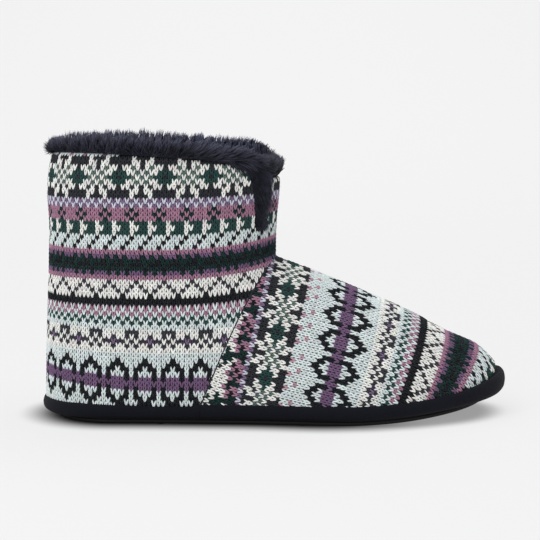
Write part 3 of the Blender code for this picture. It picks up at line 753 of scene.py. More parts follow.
def stitch_template(width, height, thickness):
    """One stitch as two spindle legs in a V: across, down and out for each point, and its painted shade.

    A leg's middle runs straight down from its arm to the tip while it swings in toward the middle;
    its radius is largest at mid length, and its height between there and the tip. The places along and
    round one leg, and the faces of both legs, come with it.
    """
    around = 5
    along, thick = np.array(STITCH_LEG).T
    rings = len(along) - 2
    across = width * (LEG_AWAY - LEG_SWING * smooth(0.05 + 0.95 * along))
    down = height * (LEG_TOP + LEG_REACH * along)
    lift = thickness * (LEG_SINK + LEG_RISE * np.sin(math.pi * (LEG_ARCH[0] + LEG_ARCH[1] * along)))
    middle = np.column_stack([across, down, lift])
    slope = unit(np.column_stack([np.gradient(across), np.gradient(down)]))[1:-1]
    share = (np.arange(around) + 0.5) / around
    turn = 2.0 * math.pi * share - math.pi / 2.0
    radius = LEG_RADIUS * width * thick[1:-1, None]
    aside, out = radius * np.cos(turn), LEG_FLATNESS * radius * np.sin(turn)
    body = middle[1:-1, None] + np.stack([-slope[:, 1:] * aside, slope[:, :1] * aside, out], axis=2)
    points = np.vstack([middle[:1], body.reshape(-1, 3), middle[-1:]])
    places = np.column_stack([along[1:-1].repeat(around), np.tile(share, rings)])
    places = np.vstack([[along[0], 0.5], places, [along[-1], 0.5]])
    # Painted shade: lighter on top of each leg, darker down its sides, under it and at its ends, where
    # yarns shade each other.
    body_painted_shades = np.tile(LEG_PAINTED_SHADES[0] + LEG_PAINTED_SHADES[1] * np.sin(turn), rings)
    shades = np.concatenate([[LEG_END_PAINTED_SHADE], body_painted_shades, [LEG_END_PAINTED_SHADE]])
    last = len(points) - 1
    faces = np.vstack([fan(1, around, 0), loft_faces(rings, around)[:, ::-1] + 1,
                       fan(last - around, around, last)[:, ::-1]])
    both = np.vstack([points, points * np.array([-1.0, 1.0, 1.0])])
    return both, places, np.vstack([faces, faces[:, ::-1] + last + 1]), np.tile(shades, 2)


def yarn_numbers(course, wale, on_vamp):
    """Number of the yarn in each stitch, read from the drawn repeats.

    The vamp goes on with the same bands after the last, and its last courses have rows of their own.
    """
    rows = [(band[on_vamp], row) for band in BANDS for row in band[2]]
    rows = dict(enumerate(rows + rows[1:]))
    if on_vamp:
        rows.update((THROAT_COURSE + k, (0, row)) for k, row in enumerate(THROAT_ROWS))
    letters = list(YARNS)
    numbers = np.zeros(course.shape, int)
    for k, (first, row) in rows.items():
        repeat = np.array([letters.index(letter) for letter in row])
        here = course == k
        numbers[here] = repeat[np.mod(wale[here] - first, len(row))]
    return numbers


def stretched(course, on_vamp):
    """Place of a course once the broad dark course takes its extra height."""
    return course + TALL_SHARE[on_vamp] * np.clip(course - TALL_COURSE, 0.0, 1.0)


def fold_under(points, normals, past, way, radius):
    """Points past an edge rolled round a small radius behind it.

    past is how far each lies beyond the edge and way the unit direction there. A point at angle
    past / radius moves back by past less radius times its sine, and in by radius times 1 less its cosine.
    """
    angle = np.clip(past / radius, 0.0, FOLD_TURN)
    back = np.clip(past, 0.0, None) - radius * np.sin(angle)
    inward = radius * (1.0 - np.cos(angle))
    tangent = unit(way - np.sum(way * normals, axis=-1, keepdims=True) * normals)
    return points - tangent * back[..., None] - normals * inward[..., None], angle


def slit_edge(height, back):
    """x of the slit's back or front edge: nearer together at the foot by a taper that eases out above."""
    away = 1.0 - smooth((height - SLIT_BOTTOM) / SLIT_TAPER_HEIGHT)
    if back:
        return SLIT_X - 0.5 * SLIT_GAP + SLIT_TAPER[0] * away
    return SLIT_X + 0.5 * SLIT_GAP - SLIT_TAPER[1] * away


def edges_of_quarter(points, kind):
    """How far points lie past the quarter's edge, the direction over it and the fold's radius there.

    kind is 0 behind the slit, 1 ahead of it, 2 under it and 3 elsewhere. Beside the slit the edge is
    a rectangle's corner with a radius, so the distance is that of a rounded box.
    """
    x, z = points[..., 0], points[..., 2]
    outer = points[..., 1] < 0.0
    over = z - collar_edge(x, outer) + COLLAR_ROLL - FOLD_RADIUS
    past = over.copy()
    radius = np.full(over.shape, COLLAR_ROLL)
    way = np.zeros(points.shape)
    way[..., 2] = 1.0
    for number, sign, corner in ((0, 1.0, SLIT_CORNER), (1, -1.0, SLIT_FRONT_CORNER)):
        here = kind == number
        beside = sign * (x - slit_edge(z, number == 0)) * SLIT_SLANT
        q = np.stack([beside + corner, over + corner], axis=-1)
        clipped = np.clip(q, 0.0, None)
        length = np.linalg.norm(clipped, axis=-1)
        box = np.minimum(q.max(axis=-1), 0.0) + length - corner
        past = np.where(here, box, past)
        share = clipped / np.maximum(length, 1e-9)[..., None]
        aim = np.stack([sign * share[..., 0], np.zeros(x.shape), share[..., 1]], axis=-1)
        way = np.where(here[..., None] & (length > 1e-9)[..., None], aim, way)
        radius = np.where(here, FOLD_RADIUS + (COLLAR_ROLL - FOLD_RADIUS) * share[..., 1] ** 2, radius)
    under = kind == 2
    past = np.where(under, z - SLIT_BOTTOM, past)
    radius = np.where(under, FOLD_RADIUS, radius)
    seam = (x - seam_line(z)) * SEAM_SQUARE[0]
    seam = np.where(z < THROAT_HEIGHT + SEAM_OVER_THROAT, seam, -1.0)
    at_seam = seam > past
    past = np.where(at_seam, seam, past)
    way = np.where(at_seam[..., None], SEAM_SQUARE, way)
    return past, way, np.where(at_seam, FOLD_RADIUS, radius)


def slit_side(points):
    """0 behind the slit, 1 ahead of it, 2 under it, 3 elsewhere."""
    x, y, z = points[..., 0], points[..., 1], points[..., 2]
    near = (y < 0.0) & (z > SLIT_BOTTOM - SLIT_FOOT_BELOW)
    inside = (x > slit_edge(z, True)) & (x < slit_edge(z, False))
    kind = np.where(near & (x < SLIT_X) & (x > SLIT_X - SLIT_BACK_REACH), 0, 3)
    kind = np.where(near & (x >= SLIT_X), 1, kind)
    low = (y < 0.0) & (z <= SLIT_BOTTOM + SLIT_FOOT_ABOVE) & inside
    return np.where(low, 2, kind)


def edges_of_vamp(points):
    """How far points lie past the seam, on its far side, the direction over it and the fold's radius."""
    x, z = points[..., 0], points[..., 2]
    past = (seam_line(z) - x) * SEAM_SQUARE[0]
    past = np.where(z > THROAT_HEIGHT, (THROAT_X - x) + 0.3 * (z - THROAT_HEIGHT), past)
    return past, np.broadcast_to(-SEAM_SQUARE, points.shape), np.full(x.shape, FOLD_RADIUS)


class Fabric:
    """One knitted panel: its sheet, its stitches and the rule for its edges."""

    def __init__(self, sheet, courses, wales, width, on_vamp):
        self.sheet, self.width, self.on_vamp = sheet, width, on_vamp
        course, wale = np.meshgrid(courses, wales, indexing="ij")
        self.course, self.wale = course.ravel(), wale.ravel()
        spot, _ = sheet.at(self.place(0.5), self.wale.astype(float))
        self.kind = np.full(len(spot), 3) if on_vamp else slit_side(spot)
        past, _, radius = self.edges(spot, self.kind)
        self.keep((past < radius) & (spot[:, 2] - midsole_top(spot[:, 0]) > -KNIT_UNDER_BAND))

    def keep(self, chosen):
        """Drops the stitches that aren't chosen."""
        self.course, self.wale, self.kind = self.course[chosen], self.wale[chosen], self.kind[chosen]

    def part(self, chosen):
        """The same panel with only the chosen stitches."""
        some = copy.copy(self)
        some.keep(chosen)
        return some

    def edges(self, points, kind):
        """How far points lie past the panel's edge, the direction over it and the fold's radius."""
        return edges_of_vamp(points) if self.on_vamp else edges_of_quarter(points, kind)

    def place(self, part):
        """Place of a fraction of each stitch's height down the sheet."""
        start, end = (stretched(self.course + more, self.on_vamp) for more in (0.0, 1.0))
        return start + (end - start) * part

    def points_at(self, across, part, lift):
        """Frame points for places inside the stitches, with the edges folded under."""
        shape = np.broadcast(across, part).shape
        course = self.place(0.0)[:, None] + (self.place(1.0) - self.place(0.0))[:, None] * part
        wale = self.wale[:, None] + across
        points, normals = self.sheet.at(np.broadcast_to(course, shape), np.broadcast_to(wale, shape))
        past, way, radius = self.edges(points, np.broadcast_to(self.kind[:, None], shape))
        moved, angle = fold_under(points, normals, past, way, radius)
        tilt = np.clip(angle, 0.0, math.pi / 2.0)[..., None]
        outward = normals * np.cos(tilt) + way * np.sin(tilt)
        return to_frame(moved + outward * lift[..., None])


# Meshes.


def new_piece(name, points, faces, material, colours=None, extra=None, bake=None, smooth_faces=True):
    """A mesh object at the origin from arrays of points and triangles or quads."""
    faces = np.asarray(faces, np.int32)
    size = faces.shape[1]
    mesh = bpy.data.meshes.new(name)
    mesh.vertices.add(len(points))
    mesh.vertices.foreach_set("co", np.asarray(points, np.float32).ravel())
    mesh.loops.add(faces.size)
    mesh.loops.foreach_set("vertex_index", faces.ravel())
    mesh.polygons.add(len(faces))
    mesh.polygons.foreach_set("loop_start", np.arange(0, faces.size, size, dtype=np.int32))
    mesh.update(calc_edges=True)
    mesh.polygons.foreach_set("use_smooth", np.full(len(faces), smooth_faces))
    if colours is not None:
        domain = "CORNER" if len(colours) == faces.size else "POINT"
        layer = mesh.attributes.new("yarn", "FLOAT_COLOR", domain)
        layer.data.foreach_set("color", np.asarray(colours, np.float32).ravel())
    for key, values in (extra or {}).items():
        layer = mesh.attributes.new(key, "FLOAT", "POINT")
        layer.data.foreach_set("value", np.asarray(values, np.float32).ravel())
    if bake is not None:
        layer = mesh.uv_layers.new(name="OFBake")
        layer.data.foreach_set("uv", np.asarray(bake, np.float32).ravel())
    mesh.validate()
    mesh.materials.append(material)
    thing = bpy.data.objects.new(name, mesh)
    bpy.context.scene.collection.objects.link(thing)
    return thing


def finish_piece(thing, slot, *nodes):
    """Rides the piece on the slipper and hides the solids that it stands for."""
    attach(thing, "root")
    if nodes:
        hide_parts(*nodes)


def loft_faces(rows, columns, closed_rows=False, closed_columns=True):
    """Triangles of a grid of points, rows times columns, wrapped where it is closed."""
    i, j = np.meshgrid(np.arange(rows if closed_rows else rows - 1),
                       np.arange(columns if closed_columns else columns - 1), indexing="ij")
    i, j = i.ravel(), j.ravel()
    ni, nj = (i + 1) % rows, (j + 1) % columns
    a, b, c, d = i * columns + j, i * columns + nj, ni * columns + nj, ni * columns + j
    return np.vstack([np.column_stack([a, b, c]), np.column_stack([a, c, d])])


# Materials.


class Term:
    """A shader socket that takes part in arithmetic."""

    def __init__(self, maker, socket):
        self.maker, self.socket = maker, socket

    def _with(self, operation, other, flipped=False):
        pair = (other, self) if flipped else (self, other)
        return self.maker.node("ShaderNodeMath", {"operation": operation}, {0: pair[0], 1: pair[1]})

    def __add__(self, other):
        return self._with("ADD", other)

    def __sub__(self, other):
        return self._with("SUBTRACT", other)

    def __rsub__(self, other):
        return self._with("SUBTRACT", other, True)

    def __mul__(self, other):
        return self._with("MULTIPLY", other)

    def __pow__(self, other):
        return self._with("POWER", other)

    __radd__ = __add__
    __rmul__ = __mul__


class Finish:
    """A material built from its shader's constants and the links that vary over the surface."""

    def __init__(self, name, constants):
        self.material = bpy.data.materials.new(name)
        self.material.use_nodes = True
        self.tree = self.material.node_tree
        self.shader = self.tree.nodes["Principled BSDF"]
        for key, value in constants.items():
            self.shader.inputs[key].default_value = value

    def node(self, kind, settings=None, sockets=None, output=0):
        """A node of any kind: its settings first, then the values or links of its sockets."""
        made = self.tree.nodes.new(kind)
        for key, value in (settings or {}).items():
            if key == "stops":
                ramp = made.color_ramp
                while len(ramp.elements) < len(value):
                    ramp.elements.new(0.5)
                for element, (place, colour) in zip(ramp.elements, value):
                    element.position, element.color = place, colour
            else:
                setattr(made, key, value)
        for key, value in (sockets or {}).items():
            self.feed(made.inputs[key], value)
        return Term(self, made.outputs[output])

    def feed(self, socket, value):
        """Links a term to a socket, or sets the socket's own value."""
        if isinstance(value, Term):
            self.tree.links.new(value.socket, socket)
        else:
            socket.default_value = value

    def link(self, key, value):
        """Feeds one of the shader's own sockets."""
        self.feed(self.shader.inputs[key], value)

    def spot(self):
        """Object coordinates."""
        return self.node("ShaderNodeTexCoord", output=3)

    def noise(self, scale, detail=3.0, stretch=(1.0, 1.0, 1.0)):
        """Noise over Object coordinates, scale in cells a metre."""
        size = self.node("ShaderNodeMapping", {}, {"Vector": self.spot(), "Scale": stretch})
        return self.node("ShaderNodeTexNoise", {}, {"Vector": size, "Scale": scale, "Detail": detail})

    def spread(self, value, start, end, first=0.0, last=1.0):
        """First to last while the value goes from start to end."""
        return self.node("ShaderNodeMapRange", {}, {"Value": value, "From Min": start, "From Max": end,
                                                    "To Min": first, "To Max": last})

    def grey(self, value):
        """A value as a colour."""
        return self.node("ShaderNodeCombineColor", {}, {0: value, 1: value, 2: value})

    def mix(self, share, first, second, blend="MIX"):
        return self.node("ShaderNodeMix", {"data_type": "RGBA", "blend_type": blend},
                         {0: share, 6: first, 7: second}, 2)

    def shaded(self, colour, value):
        """A colour times a value."""
        return self.mix(1.0, colour, self.grey(value), "MULTIPLY")

    def attribute(self, name, output=0):
        """A mesh attribute: its colour, or with output 2 its single value."""
        return self.node("ShaderNodeAttribute", {"attribute_name": name}, {}, output)

    def bump(self, height, distance, strength):
        """Relief that a height between 0 and 1 gives over a distance."""
        self.link("Normal", self.node("ShaderNodeBump", {}, {
            "Strength": strength, "Distance": distance, "Height": height}))


def yarn_finish(name):
    """Soft spun yarn: its own colour with flecks of fibre, fine hairs as bump and a woolly sheen."""
    made = Finish(name, {"Roughness": 0.92, "Specular IOR Level": 0.07, "Sheen Weight": 0.05,
                         "Sheen Roughness": 0.5})
    flecks = made.noise(900.0, 4.0)
    colour = made.shaded(made.attribute("yarn"), made.spread(flecks, 0.3, 0.7, 0.80, 1.16))
    specks = made.spread(made.noise(1500.0, 3.0), 0.50, 0.72)
    made.link("Base Color", made.mix(specks, colour, (0.030, 0.034, 0.033, 1.0), "ADD"))
    made.bump(made.noise(2600.0, 2.0) * 0.6 + flecks * 0.4, 0.25 * MM, 0.6)
    return made.material


def fur_finish(name, root, tip):
    """Faux fur: nearly black at the root and lighter toward the tip, with a broad soft gloss."""
    made = Finish(name, {"Roughness": 0.55, "Specular IOR Level": 0.25, "Sheen Weight": 0.08,
                         "Sheen Roughness": 0.4, "Sheen Tint": (0.55, 0.6, 1.0, 1.0)})
    stops = ((0.0, root), (0.45, mixed(root, tip, 0.35)), (1.0, tip))
    ramp = made.node("ShaderNodeValToRGB", {"stops": stops}, {"Fac": made.attribute("along", 2)})
    # The clump attribute carries each hair's tone and its painted shade and light.
    made.link("Base Color", made.shaded(ramp, made.attribute("clump", 2)))
    return made.material


def pile_finish(name, dark, light, cell=900.0):
    """Short plush: painted shade between the tufts and lighter on them."""
    made = Finish(name, {"Roughness": 0.95, "Specular IOR Level": 0.1, "Sheen Weight": 0.06,
                         "Sheen Tint": (0.6, 0.65, 1.0, 1.0)})
    tufts = made.noise(cell, 5.0)
    # One noise gives the tufts' bump and colour: painted shade where the bump is low.
    made.link("Base Color", made.mix(tufts ** 1.6, dark, light))
    made.bump(tufts, 1.2 * MM, 0.9)
    return made.material


def felt_finish(name, dark, light, join):
    """Brushed band textile: fine weave under a short nap, lighter where it is rubbed.

    Its two ends meet in a narrow groove at x = join on the outer side: the groove's depth is 1 less
    the distance from it over its half width.
    """
    made = Finish(name, {"Roughness": 0.93, "Specular IOR Level": 0.12, "Sheen Weight": 0.03,
                         "Sheen Roughness": 0.6})
    nap = made.noise(1500.0, 5.0, (0.6, 1.0, 1.0))
    patches = made.noise(160.0, 3.0)
    x, y = (made.node("ShaderNodeSeparateXYZ", {}, {"Vector": made.spot()}, k) for k in (0, 1))
    away = made.node("ShaderNodeMath", {"operation": "ABSOLUTE"}, {0: x - join})
    outer = made.node("ShaderNodeMath", {"operation": "LESS_THAN"}, {0: y, 1: 0.0})
    groove = made.spread(away, 0.0, BAND_JOIN_WIDTH, 1.0, 0.0) * outer
    # The groove takes the dark colour: painted shade in it.
    made.link("Base Color", made.mix((nap * 0.55 + patches * 0.45) * (1.0 - groove), dark, light))
    made.bump(nap - groove * 2.0, 0.35 * MM, 0.8)
    return made.material


def rubber_finish(name, dark, light):
    """Matt moulded rubber with a fine orange-peel skin and a little dust in it."""
    made = Finish(name, {"Roughness": 0.7, "Specular IOR Level": 0.2})
    dust = made.noise(90.0, 5.0)
    made.link("Base Color", made.mix(dust, dark, light))
    made.link("Roughness", dust * 0.25 + 0.5)
    made.bump(made.noise(2200.0, 2.0), 0.12 * MM, 0.5)
    return made.material


def mixed(first, second, share):
    """A colour that lies a share of the way from the first to the second."""
    return tuple(a + (b - a) * share for a, b in zip(first, second))


# Sizes and colours that a user would change.


def colour_property(name, *light):
    """A colour given as red, green and blue in linear light."""
    return bpy.props.FloatVectorProperty(name=name, description=name + " in linear light", size=4,
                                         subtype="COLOR", min=0.0, max=1.0, default=(*light, 1.0))


def length_property(name, description, default, low, high):
    """A length whose default and limits are given in millimetres."""
    return bpy.props.FloatProperty(name=name, description=description, default=default * MM,
                                   min=low * MM, max=high * MM, unit="LENGTH")


def amount_property(name, description, default, high):
    """A number from 0 up."""
    return bpy.props.FloatProperty(name=name, description=description, default=default, min=0.0, max=high)


def seed_property(default):
    """Seed of a group's differences."""
    return bpy.props.IntProperty(name="Seed", description="Seed of the differences", default=default)


class KnitSettings(bpy.types.PropertyGroup):
    thickness: length_property("Yarn relief", "How far the stitches stand up", 0.42, 0.1, 1.0)
    jitter: amount_property("Unevenness", "Share by which stitches differ", 0.07, 0.3)
    seed: seed_property(5)

    def yarns(self):
        """Colours in the order of the pattern's letters."""
        return np.array([getattr(self, name) for name, *_ in YARNS.values()])


for yarn, *light in YARNS.values():
    KnitSettings.__annotations__[yarn] = colour_property(yarn.capitalize() + " yarn", *light)


class FurSettings(bpy.types.PropertyGroup):
    length: length_property("Pile length", "Length of the longest hairs", 7.5, 2.0, 15.0)
    hairs: bpy.props.IntProperty(name="Hairs", description="Number of hairs on the collar",
                                 default=10500, min=100, max=12000)
    clump: length_property("Lock width", "Distance between locks", 5.0, 2.0, 15.0)
    seed: seed_property(3)
    root: colour_property("Root colour", 0.0045, 0.0047, 0.0070)
    tip: colour_property("Tip colour", 0.090, 0.093, 0.140)


class SoleSettings(bpy.types.PropertyGroup):
    tread: length_property("Tread depth", "Depth of the tread's grooves", 0.9, 0.0, 2.0)
    pitch: length_property("Tread pitch", "Distance between tread studs", 7.5, 3.0, 20.0)
    navy: colour_property("Band colour", 0.0024, 0.0027, 0.0052)
    navy_light: colour_property("Rubbed band colour", 0.0070, 0.0076, 0.0130)
    rubber: colour_property("Rubber colour", 0.0035, 0.0035, 0.0045)


class StageSettings(bpy.types.PropertyGroup):
    floor: colour_property("Floor colour", 0.20, 0.20, 0.20)
    glow: amount_property("Floor glow", "Strength of the floor's own light", 0.66, 1.0)
    # Depth of the painted contact shadow on the floor.
    contact: amount_property("Contact shade", "Depth of the shade at the sole", 1.0, 1.0)
    key: amount_property("Key light", "Power of the soft light in front", 14.6, 500.0)
    top: amount_property("Top light", "Power of the soft light overhead", 12.5, 500.0)
    backdrop: amount_property("Backdrop light", "Power of the light behind", 2.6, 500.0)
    fill: amount_property("Fill light", "Strength of the surrounding light", 0.54, 5.0)
    distance: length_property("Camera distance", "Distance in front", 1150.0, 200.0, 5000.0)
    height: length_property("Camera height", "Height above the floor", 220.0, 0.0, 2000.0)
    pitch: bpy.props.FloatProperty(name="Camera pitch", description="Angle down from level",
                                   default=math.radians(6.9), subtype="ANGLE")


# Pieces.


def stitch_piece(name, part, knit, material):
    """All stitches of one part of a panel as one mesh.

    Each stitch is the template moved to its place on the sheet, with its yarn's colour, small seeded
    differences in place, size and tone, and the template's painted shade on its legs.
    """
    random = np.random.RandomState(knit.seed + len(name))
    count = len(part.course)
    template, places, faces, shades = stitch_template(part.width, STITCH_HEIGHT, knit.thickness)
    size = len(template)
    wobble = random.uniform(-1.0, 1.0, (count, 4)) * knit.jitter
    across = template[None, :, 0] / part.width * (1.0 + wobble[:, :1]) + 0.5 * wobble[:, 1:2]
    down = template[None, :, 1] / STITCH_HEIGHT + 0.5 * wobble[:, 2:3]
    if part.on_vamp:
        across, down = -across, 1.0 - down
    lift = template[None, :, 2] * (1.0 + 1.2 * wobble[:, 3:4]) - KNIT_SINK
    points = part.points_at(across, down, lift)
    colours = knit.yarns()[yarn_numbers(part.course, part.wale, part.on_vamp)]
    colours[:, :3] *= random.uniform(*YARN_SHADES, (count, 1)) + random.uniform(*YARN_TINTS, (count, 3))
    colours = np.repeat(colours, size, axis=0)
    # Each point also takes the template's painted shade on the legs.
    colours[:, :3] *= np.tile(shades, count)[:, None]
    faces = copies(faces, count, size)
    bake = own_cells(places[:, ::-1], 2 * count, margin=0.12)[faces.ravel()]
    return new_piece(name, points.reshape(-1, 3), faces, material, colours,
                     {"along": np.tile(places[:, 0], 2 * count)}, bake)


def backing_piece(name, fabric, knit, material):
    """Cloth behind the stitches: one quad a stitch, corners shared, darker as painted shade in the gaps."""
    shape = (len(fabric.course), 4)
    points = fabric.points_at(np.broadcast_to([-0.5, 0.5, 0.5, -0.5], shape),
                              np.broadcast_to([0.0, 0.0, 1.0, 1.0], shape),
                              np.full(shape, -BACKING_THICKNESS - KNIT_SINK)).reshape(-1, 3)
    keys, back = np.unique(np.round(points / (0.02 * MM)).astype(np.int64), axis=0, return_inverse=True)
    back = back.ravel()
    shared = np.zeros((len(keys), 3))
    np.add.at(shared, back, points)
    shared /= np.bincount(back)[:, None]
    faces = back.reshape(-1, 4)[:, ::-1]
    good = np.array([len(set(face)) == 4 for face in faces.tolist()])
    colours = knit.yarns()[yarn_numbers(fabric.course, fabric.wale, fabric.on_vamp)]
    # The yarn's colour darkened: painted shade in the gaps between the stitches.
    colours[:, :3] *= BACKING_PAINTED_SHADE
    colours = np.repeat(colours[good], 4, axis=0)
    thing = new_piece(name, shared, faces[good], material, colours)
    thicken(thing, BACKING_THICKNESS)
    return thing


def thicken(thing, thickness):
    """A live wall behind the piece's faces."""
    solid = thing.modifiers.new("thickness", "SOLIDIFY")
    solid.thickness = thickness
    solid.offset = -1.0


def tube(path, radius, around):
    """A closed round tube along a path: rings square to it, with a point at each end."""
    ahead = unit(np.gradient(path, axis=0))
    first = unit(np.cross(ahead, np.array([0.0, 0.0, 1.0])))
    second = np.cross(ahead, first)
    turn = 2.0 * math.pi * np.arange(around)[None, :, None] / around
    rings = path[:, None] + radius * (np.cos(turn) * first[:, None] + np.sin(turn) * second[:, None])
    size = len(path) * around
    points = np.vstack([rings.reshape(-1, 3), path[:1], path[-1:]])
    return points, np.vstack([loft_faces(len(path), around), fan(0, around, size),
                              fan(size - around, around, size + 1)[:, ::-1]])


def seam_path(count):
    """The seam from the sole on the outer side over the throat to the sole on the inner side."""
    low, high = midsole_top(SEAM_SOLE_X) - SEAM_CORD_ENDS[0], THROAT_HEIGHT - SEAM_CORD_ENDS[1]
    height = np.linspace(low, high, count)
    x = seam_line(height)
    outer, inner = (np.column_stack([x, y, height]) for y in sides(x, height))
    over = np.array([[THROAT_X + SEAM_CORD_CREST[0], 0.0, THROAT_HEIGHT + SEAM_CORD_CREST[1]]])
    path = np.vstack([outer, over, inner[::-1]])
    for _ in range(2):
        path[1:-1] = 0.5 * path[1:-1] + 0.25 * (path[2:] + path[:-2])
    return path


class SLIPPER_OT_knit(bpy.types.Operator):
    """Knit the quarter with its shaft and the vamp, stitch by stitch"""
    bl_idname = "slipper.knit"
    bl_label = "Knit"

    def execute(self, context):
        knit = context.scene.slipper_knit
        yarn = yarn_finish("knit_yarn")
        cloth = yarn_finish("knit_backing")
        quarter = Fabric(quarter_sheet(), np.arange(QUARTER_COURSES), np.arange(WALES_ROUND),
                         STITCH_WIDTH, False)
        vamp = Fabric(vamp_sheet(), np.arange(FIRST_VAMP_COURSE, LAST_VAMP_COURSE),
                      np.arange(-VAMP_WALES, VAMP_WALES + 1), VAMP_STITCH_WIDTH, True)
        outer = quarter.wale < WALES_ROUND // 2
        upper = quarter.course < SHAFT_COURSES
        pieces = [stitch_piece(name, fabric.part(chosen), knit, yarn) for name, fabric, chosen in (
            ("knit_shaft_outer", quarter, outer & upper), ("knit_heel_outer", quarter, outer & ~upper),
            ("knit_shaft_inner", quarter, ~outer & upper), ("knit_heel_inner", quarter, ~outer & ~upper),
            ("knit_vamp_outer", vamp, vamp.wale >= 0), ("knit_vamp_inner", vamp, vamp.wale < 0))]
        pieces += [backing_piece("quarter_backing", quarter, knit, cloth),
                   backing_piece("vamp_backing", vamp, knit, cloth)]
        points, faces = tube(seam_path(110), SEAM_CORD_RADIUS, 6)
        shades = np.tile(mixed(knit.charcoal, knit.grey, 0.4), (len(points), 1))
        pieces.append(new_piece("seam_cord", to_frame(points), faces, yarn, shades))
        for piece in pieces:
            finish_piece(piece, "knit", "upper")
        return {"FINISHED"}


def wall_line(share, side):
    """One side's line of the wall from heel to front: share 0 at the sole, 1 at the throat, 2 the edge."""
    turn = half_turn(WALL_SAMPLES)
    sole_z = midsole_top(0.0)
    if share <= 1.0:
        scan = np.linspace(THROAT_X - 2.0 * MM, SOLE_LENGTH - UPPER_INSETS[2], 1500)
        low = midsole_top(scan)
        over = np.where(ridge_height(scan) >= low + share * (THROAT_HEIGHT - low))[0]
        end = scan[over[-1]] if len(over) else THROAT_X
        start = shaft(sole_z + share * (THROAT_HEIGHT - sole_z))[0]
        x = start + (end - start) * turn
        low = midsole_top(x)
        z = low + share * (THROAT_HEIGHT - low)
        tip = ridge_side(end)
    else:
        top = collar_edge(SHAFT_BACK_X + (THROAT_X - SHAFT_BACK_X) * turn, side == OUTER)
        z = THROAT_HEIGHT + (share - 1.0) * (top - THROAT_HEIGHT)
        back, front, _ = shaft(z)
        x = back + (front - back) * turn
        tip = 0.0
    y = SIDE_LIMITS[side](sides(x, z)[side], np.linspace(0.0, tip, len(x)))
    y[0], y[-1] = 0.0, tip
    return np.column_stack([x, y, z])


def wall_loops(shares, count, inset):
    """Closed loops inside the wall from sole to collar: the skin less inset along its normals."""
    grid = np.array([closed_loop(*(evenly(wall_line(share, side), count // 2 + 1)
                                   for side in (OUTER, INNER))) for share in shares])
    for _ in range(6):
        grid = 0.5 * grid + 0.25 * (np.roll(grid, 1, axis=1) + np.roll(grid, -1, axis=1))
    around = np.roll(grid, -1, axis=1) - np.roll(grid, 1, axis=1)
    normal = unit(np.cross(around, np.gradient(grid, axis=0)))
    normal *= np.sign(np.sum((grid - grid.mean(axis=(0, 1))) * normal))
    return grid - inset * normal


def merged(points, faces):
    """Points within a hundredth of a millimetre made one, and the faces that this closes dropped."""
    _, first, back = np.unique(np.round(points / (0.01 * MM)).astype(np.int64), axis=0,
                               return_index=True, return_inverse=True)
    faces = back.ravel()[faces]
    kept = (faces[:, 0] != faces[:, 1]) & (faces[:, 1] != faces[:, 2]) & (faces[:, 2] != faces[:, 0])
    return points[first], faces[kept]


def sole_loop(insets, stations):
    """x and y of the sole's outline, heel tip first and round by the outer side."""
    x = insets[1] + (SOLE_LENGTH - insets[1] - insets[2]) * half_turn(stations + 1)
    outer, inner = outline(x, insets)
    return closed_loop(x, x), closed_loop(outer, inner)


def insole_mesh():
    """The pad: rows across its crowned top and its flat foot, and rings up its rounded side.

    The crown stands over the pad's edge by its height times 1 minus the fourth power of the place
    across, and eases out at both ends.
    """
    stations, columns = 100, 12
    turn = half_turn(stations + 1)[:, None]
    across = np.linspace(-1.0, 1.0, columns + 1)
    crown = INSOLE_CROWN * (4.0 * turn * (1.0 - turn)) ** 0.5 * (1.0 - across ** 4)
    points, faces, rings = [], [], []
    size = (stations + 1) * (columns + 1)
    for share, inset in INSOLE_SIDE:
        insets = tuple(value + inset for value in INSOLE_INSETS)
        height = GAP + INSOLE_THICKNESS * share
        x, y = sole_loop(insets, stations)
        rings.append(np.column_stack([x, y, midsole_top(x) + height]))
        if share not in (0.0, 1.0):
            continue
        x = x[:stations + 1, None]
        outer, inner = outline(x, insets)
        y = 0.5 * (outer + inner) + 0.5 * (inner - outer) * across
        z = midsole_top(x) + height + share * crown
        grid = loft_faces(stations + 1, columns + 1, False, False)
        faces.append((grid[:, ::-1] if share else grid) + len(points) * size)
        points.append(np.stack([np.broadcast_to(x, y.shape), y, z], axis=2).reshape(-1, 3))
    rings = np.array(rings)
    faces.append(loft_faces(*rings.shape[:2]) + len(points) * size)
    points, faces = merged(np.vstack(points + [rings.reshape(-1, 3)]), np.vstack(faces))
    return to_frame(points), faces


class SLIPPER_OT_lining(bpy.types.Operator):
    """Line the inside with plush and lay the plush insole"""
    bl_idname = "slipper.lining"
    bl_label = "Lining"

    def execute(self, context):
        fur = context.scene.slipper_fur
        plush = pile_finish("plush_lining", tuple(fur.root), mixed(fur.root, fur.tip, 0.45))
        low, high = LINING_ROWS
        shares = np.concatenate([np.linspace(0.0, 1.0, low), np.linspace(1.0, LINING_TOP, high)[1:]])
        points = to_frame(wall_loops(shares, LINING_COLUMNS, WALL).reshape(-1, 3))
        faces = loft_faces(len(shares), LINING_COLUMNS)[:, ::-1]
        lining = new_piece("plush_lining", points, faces, plush)
        thicken(lining, LINING_THICKNESS)
        finish_piece(lining, "fur", "upper")
        pile = pile_finish("insole_plush", tuple(fur.root), mixed(fur.root, fur.tip, 0.5), 700.0)
        finish_piece(new_piece("insole_pad", *insole_mesh(), pile), "insole_fabric", "insole")
        return {"FINISHED"}


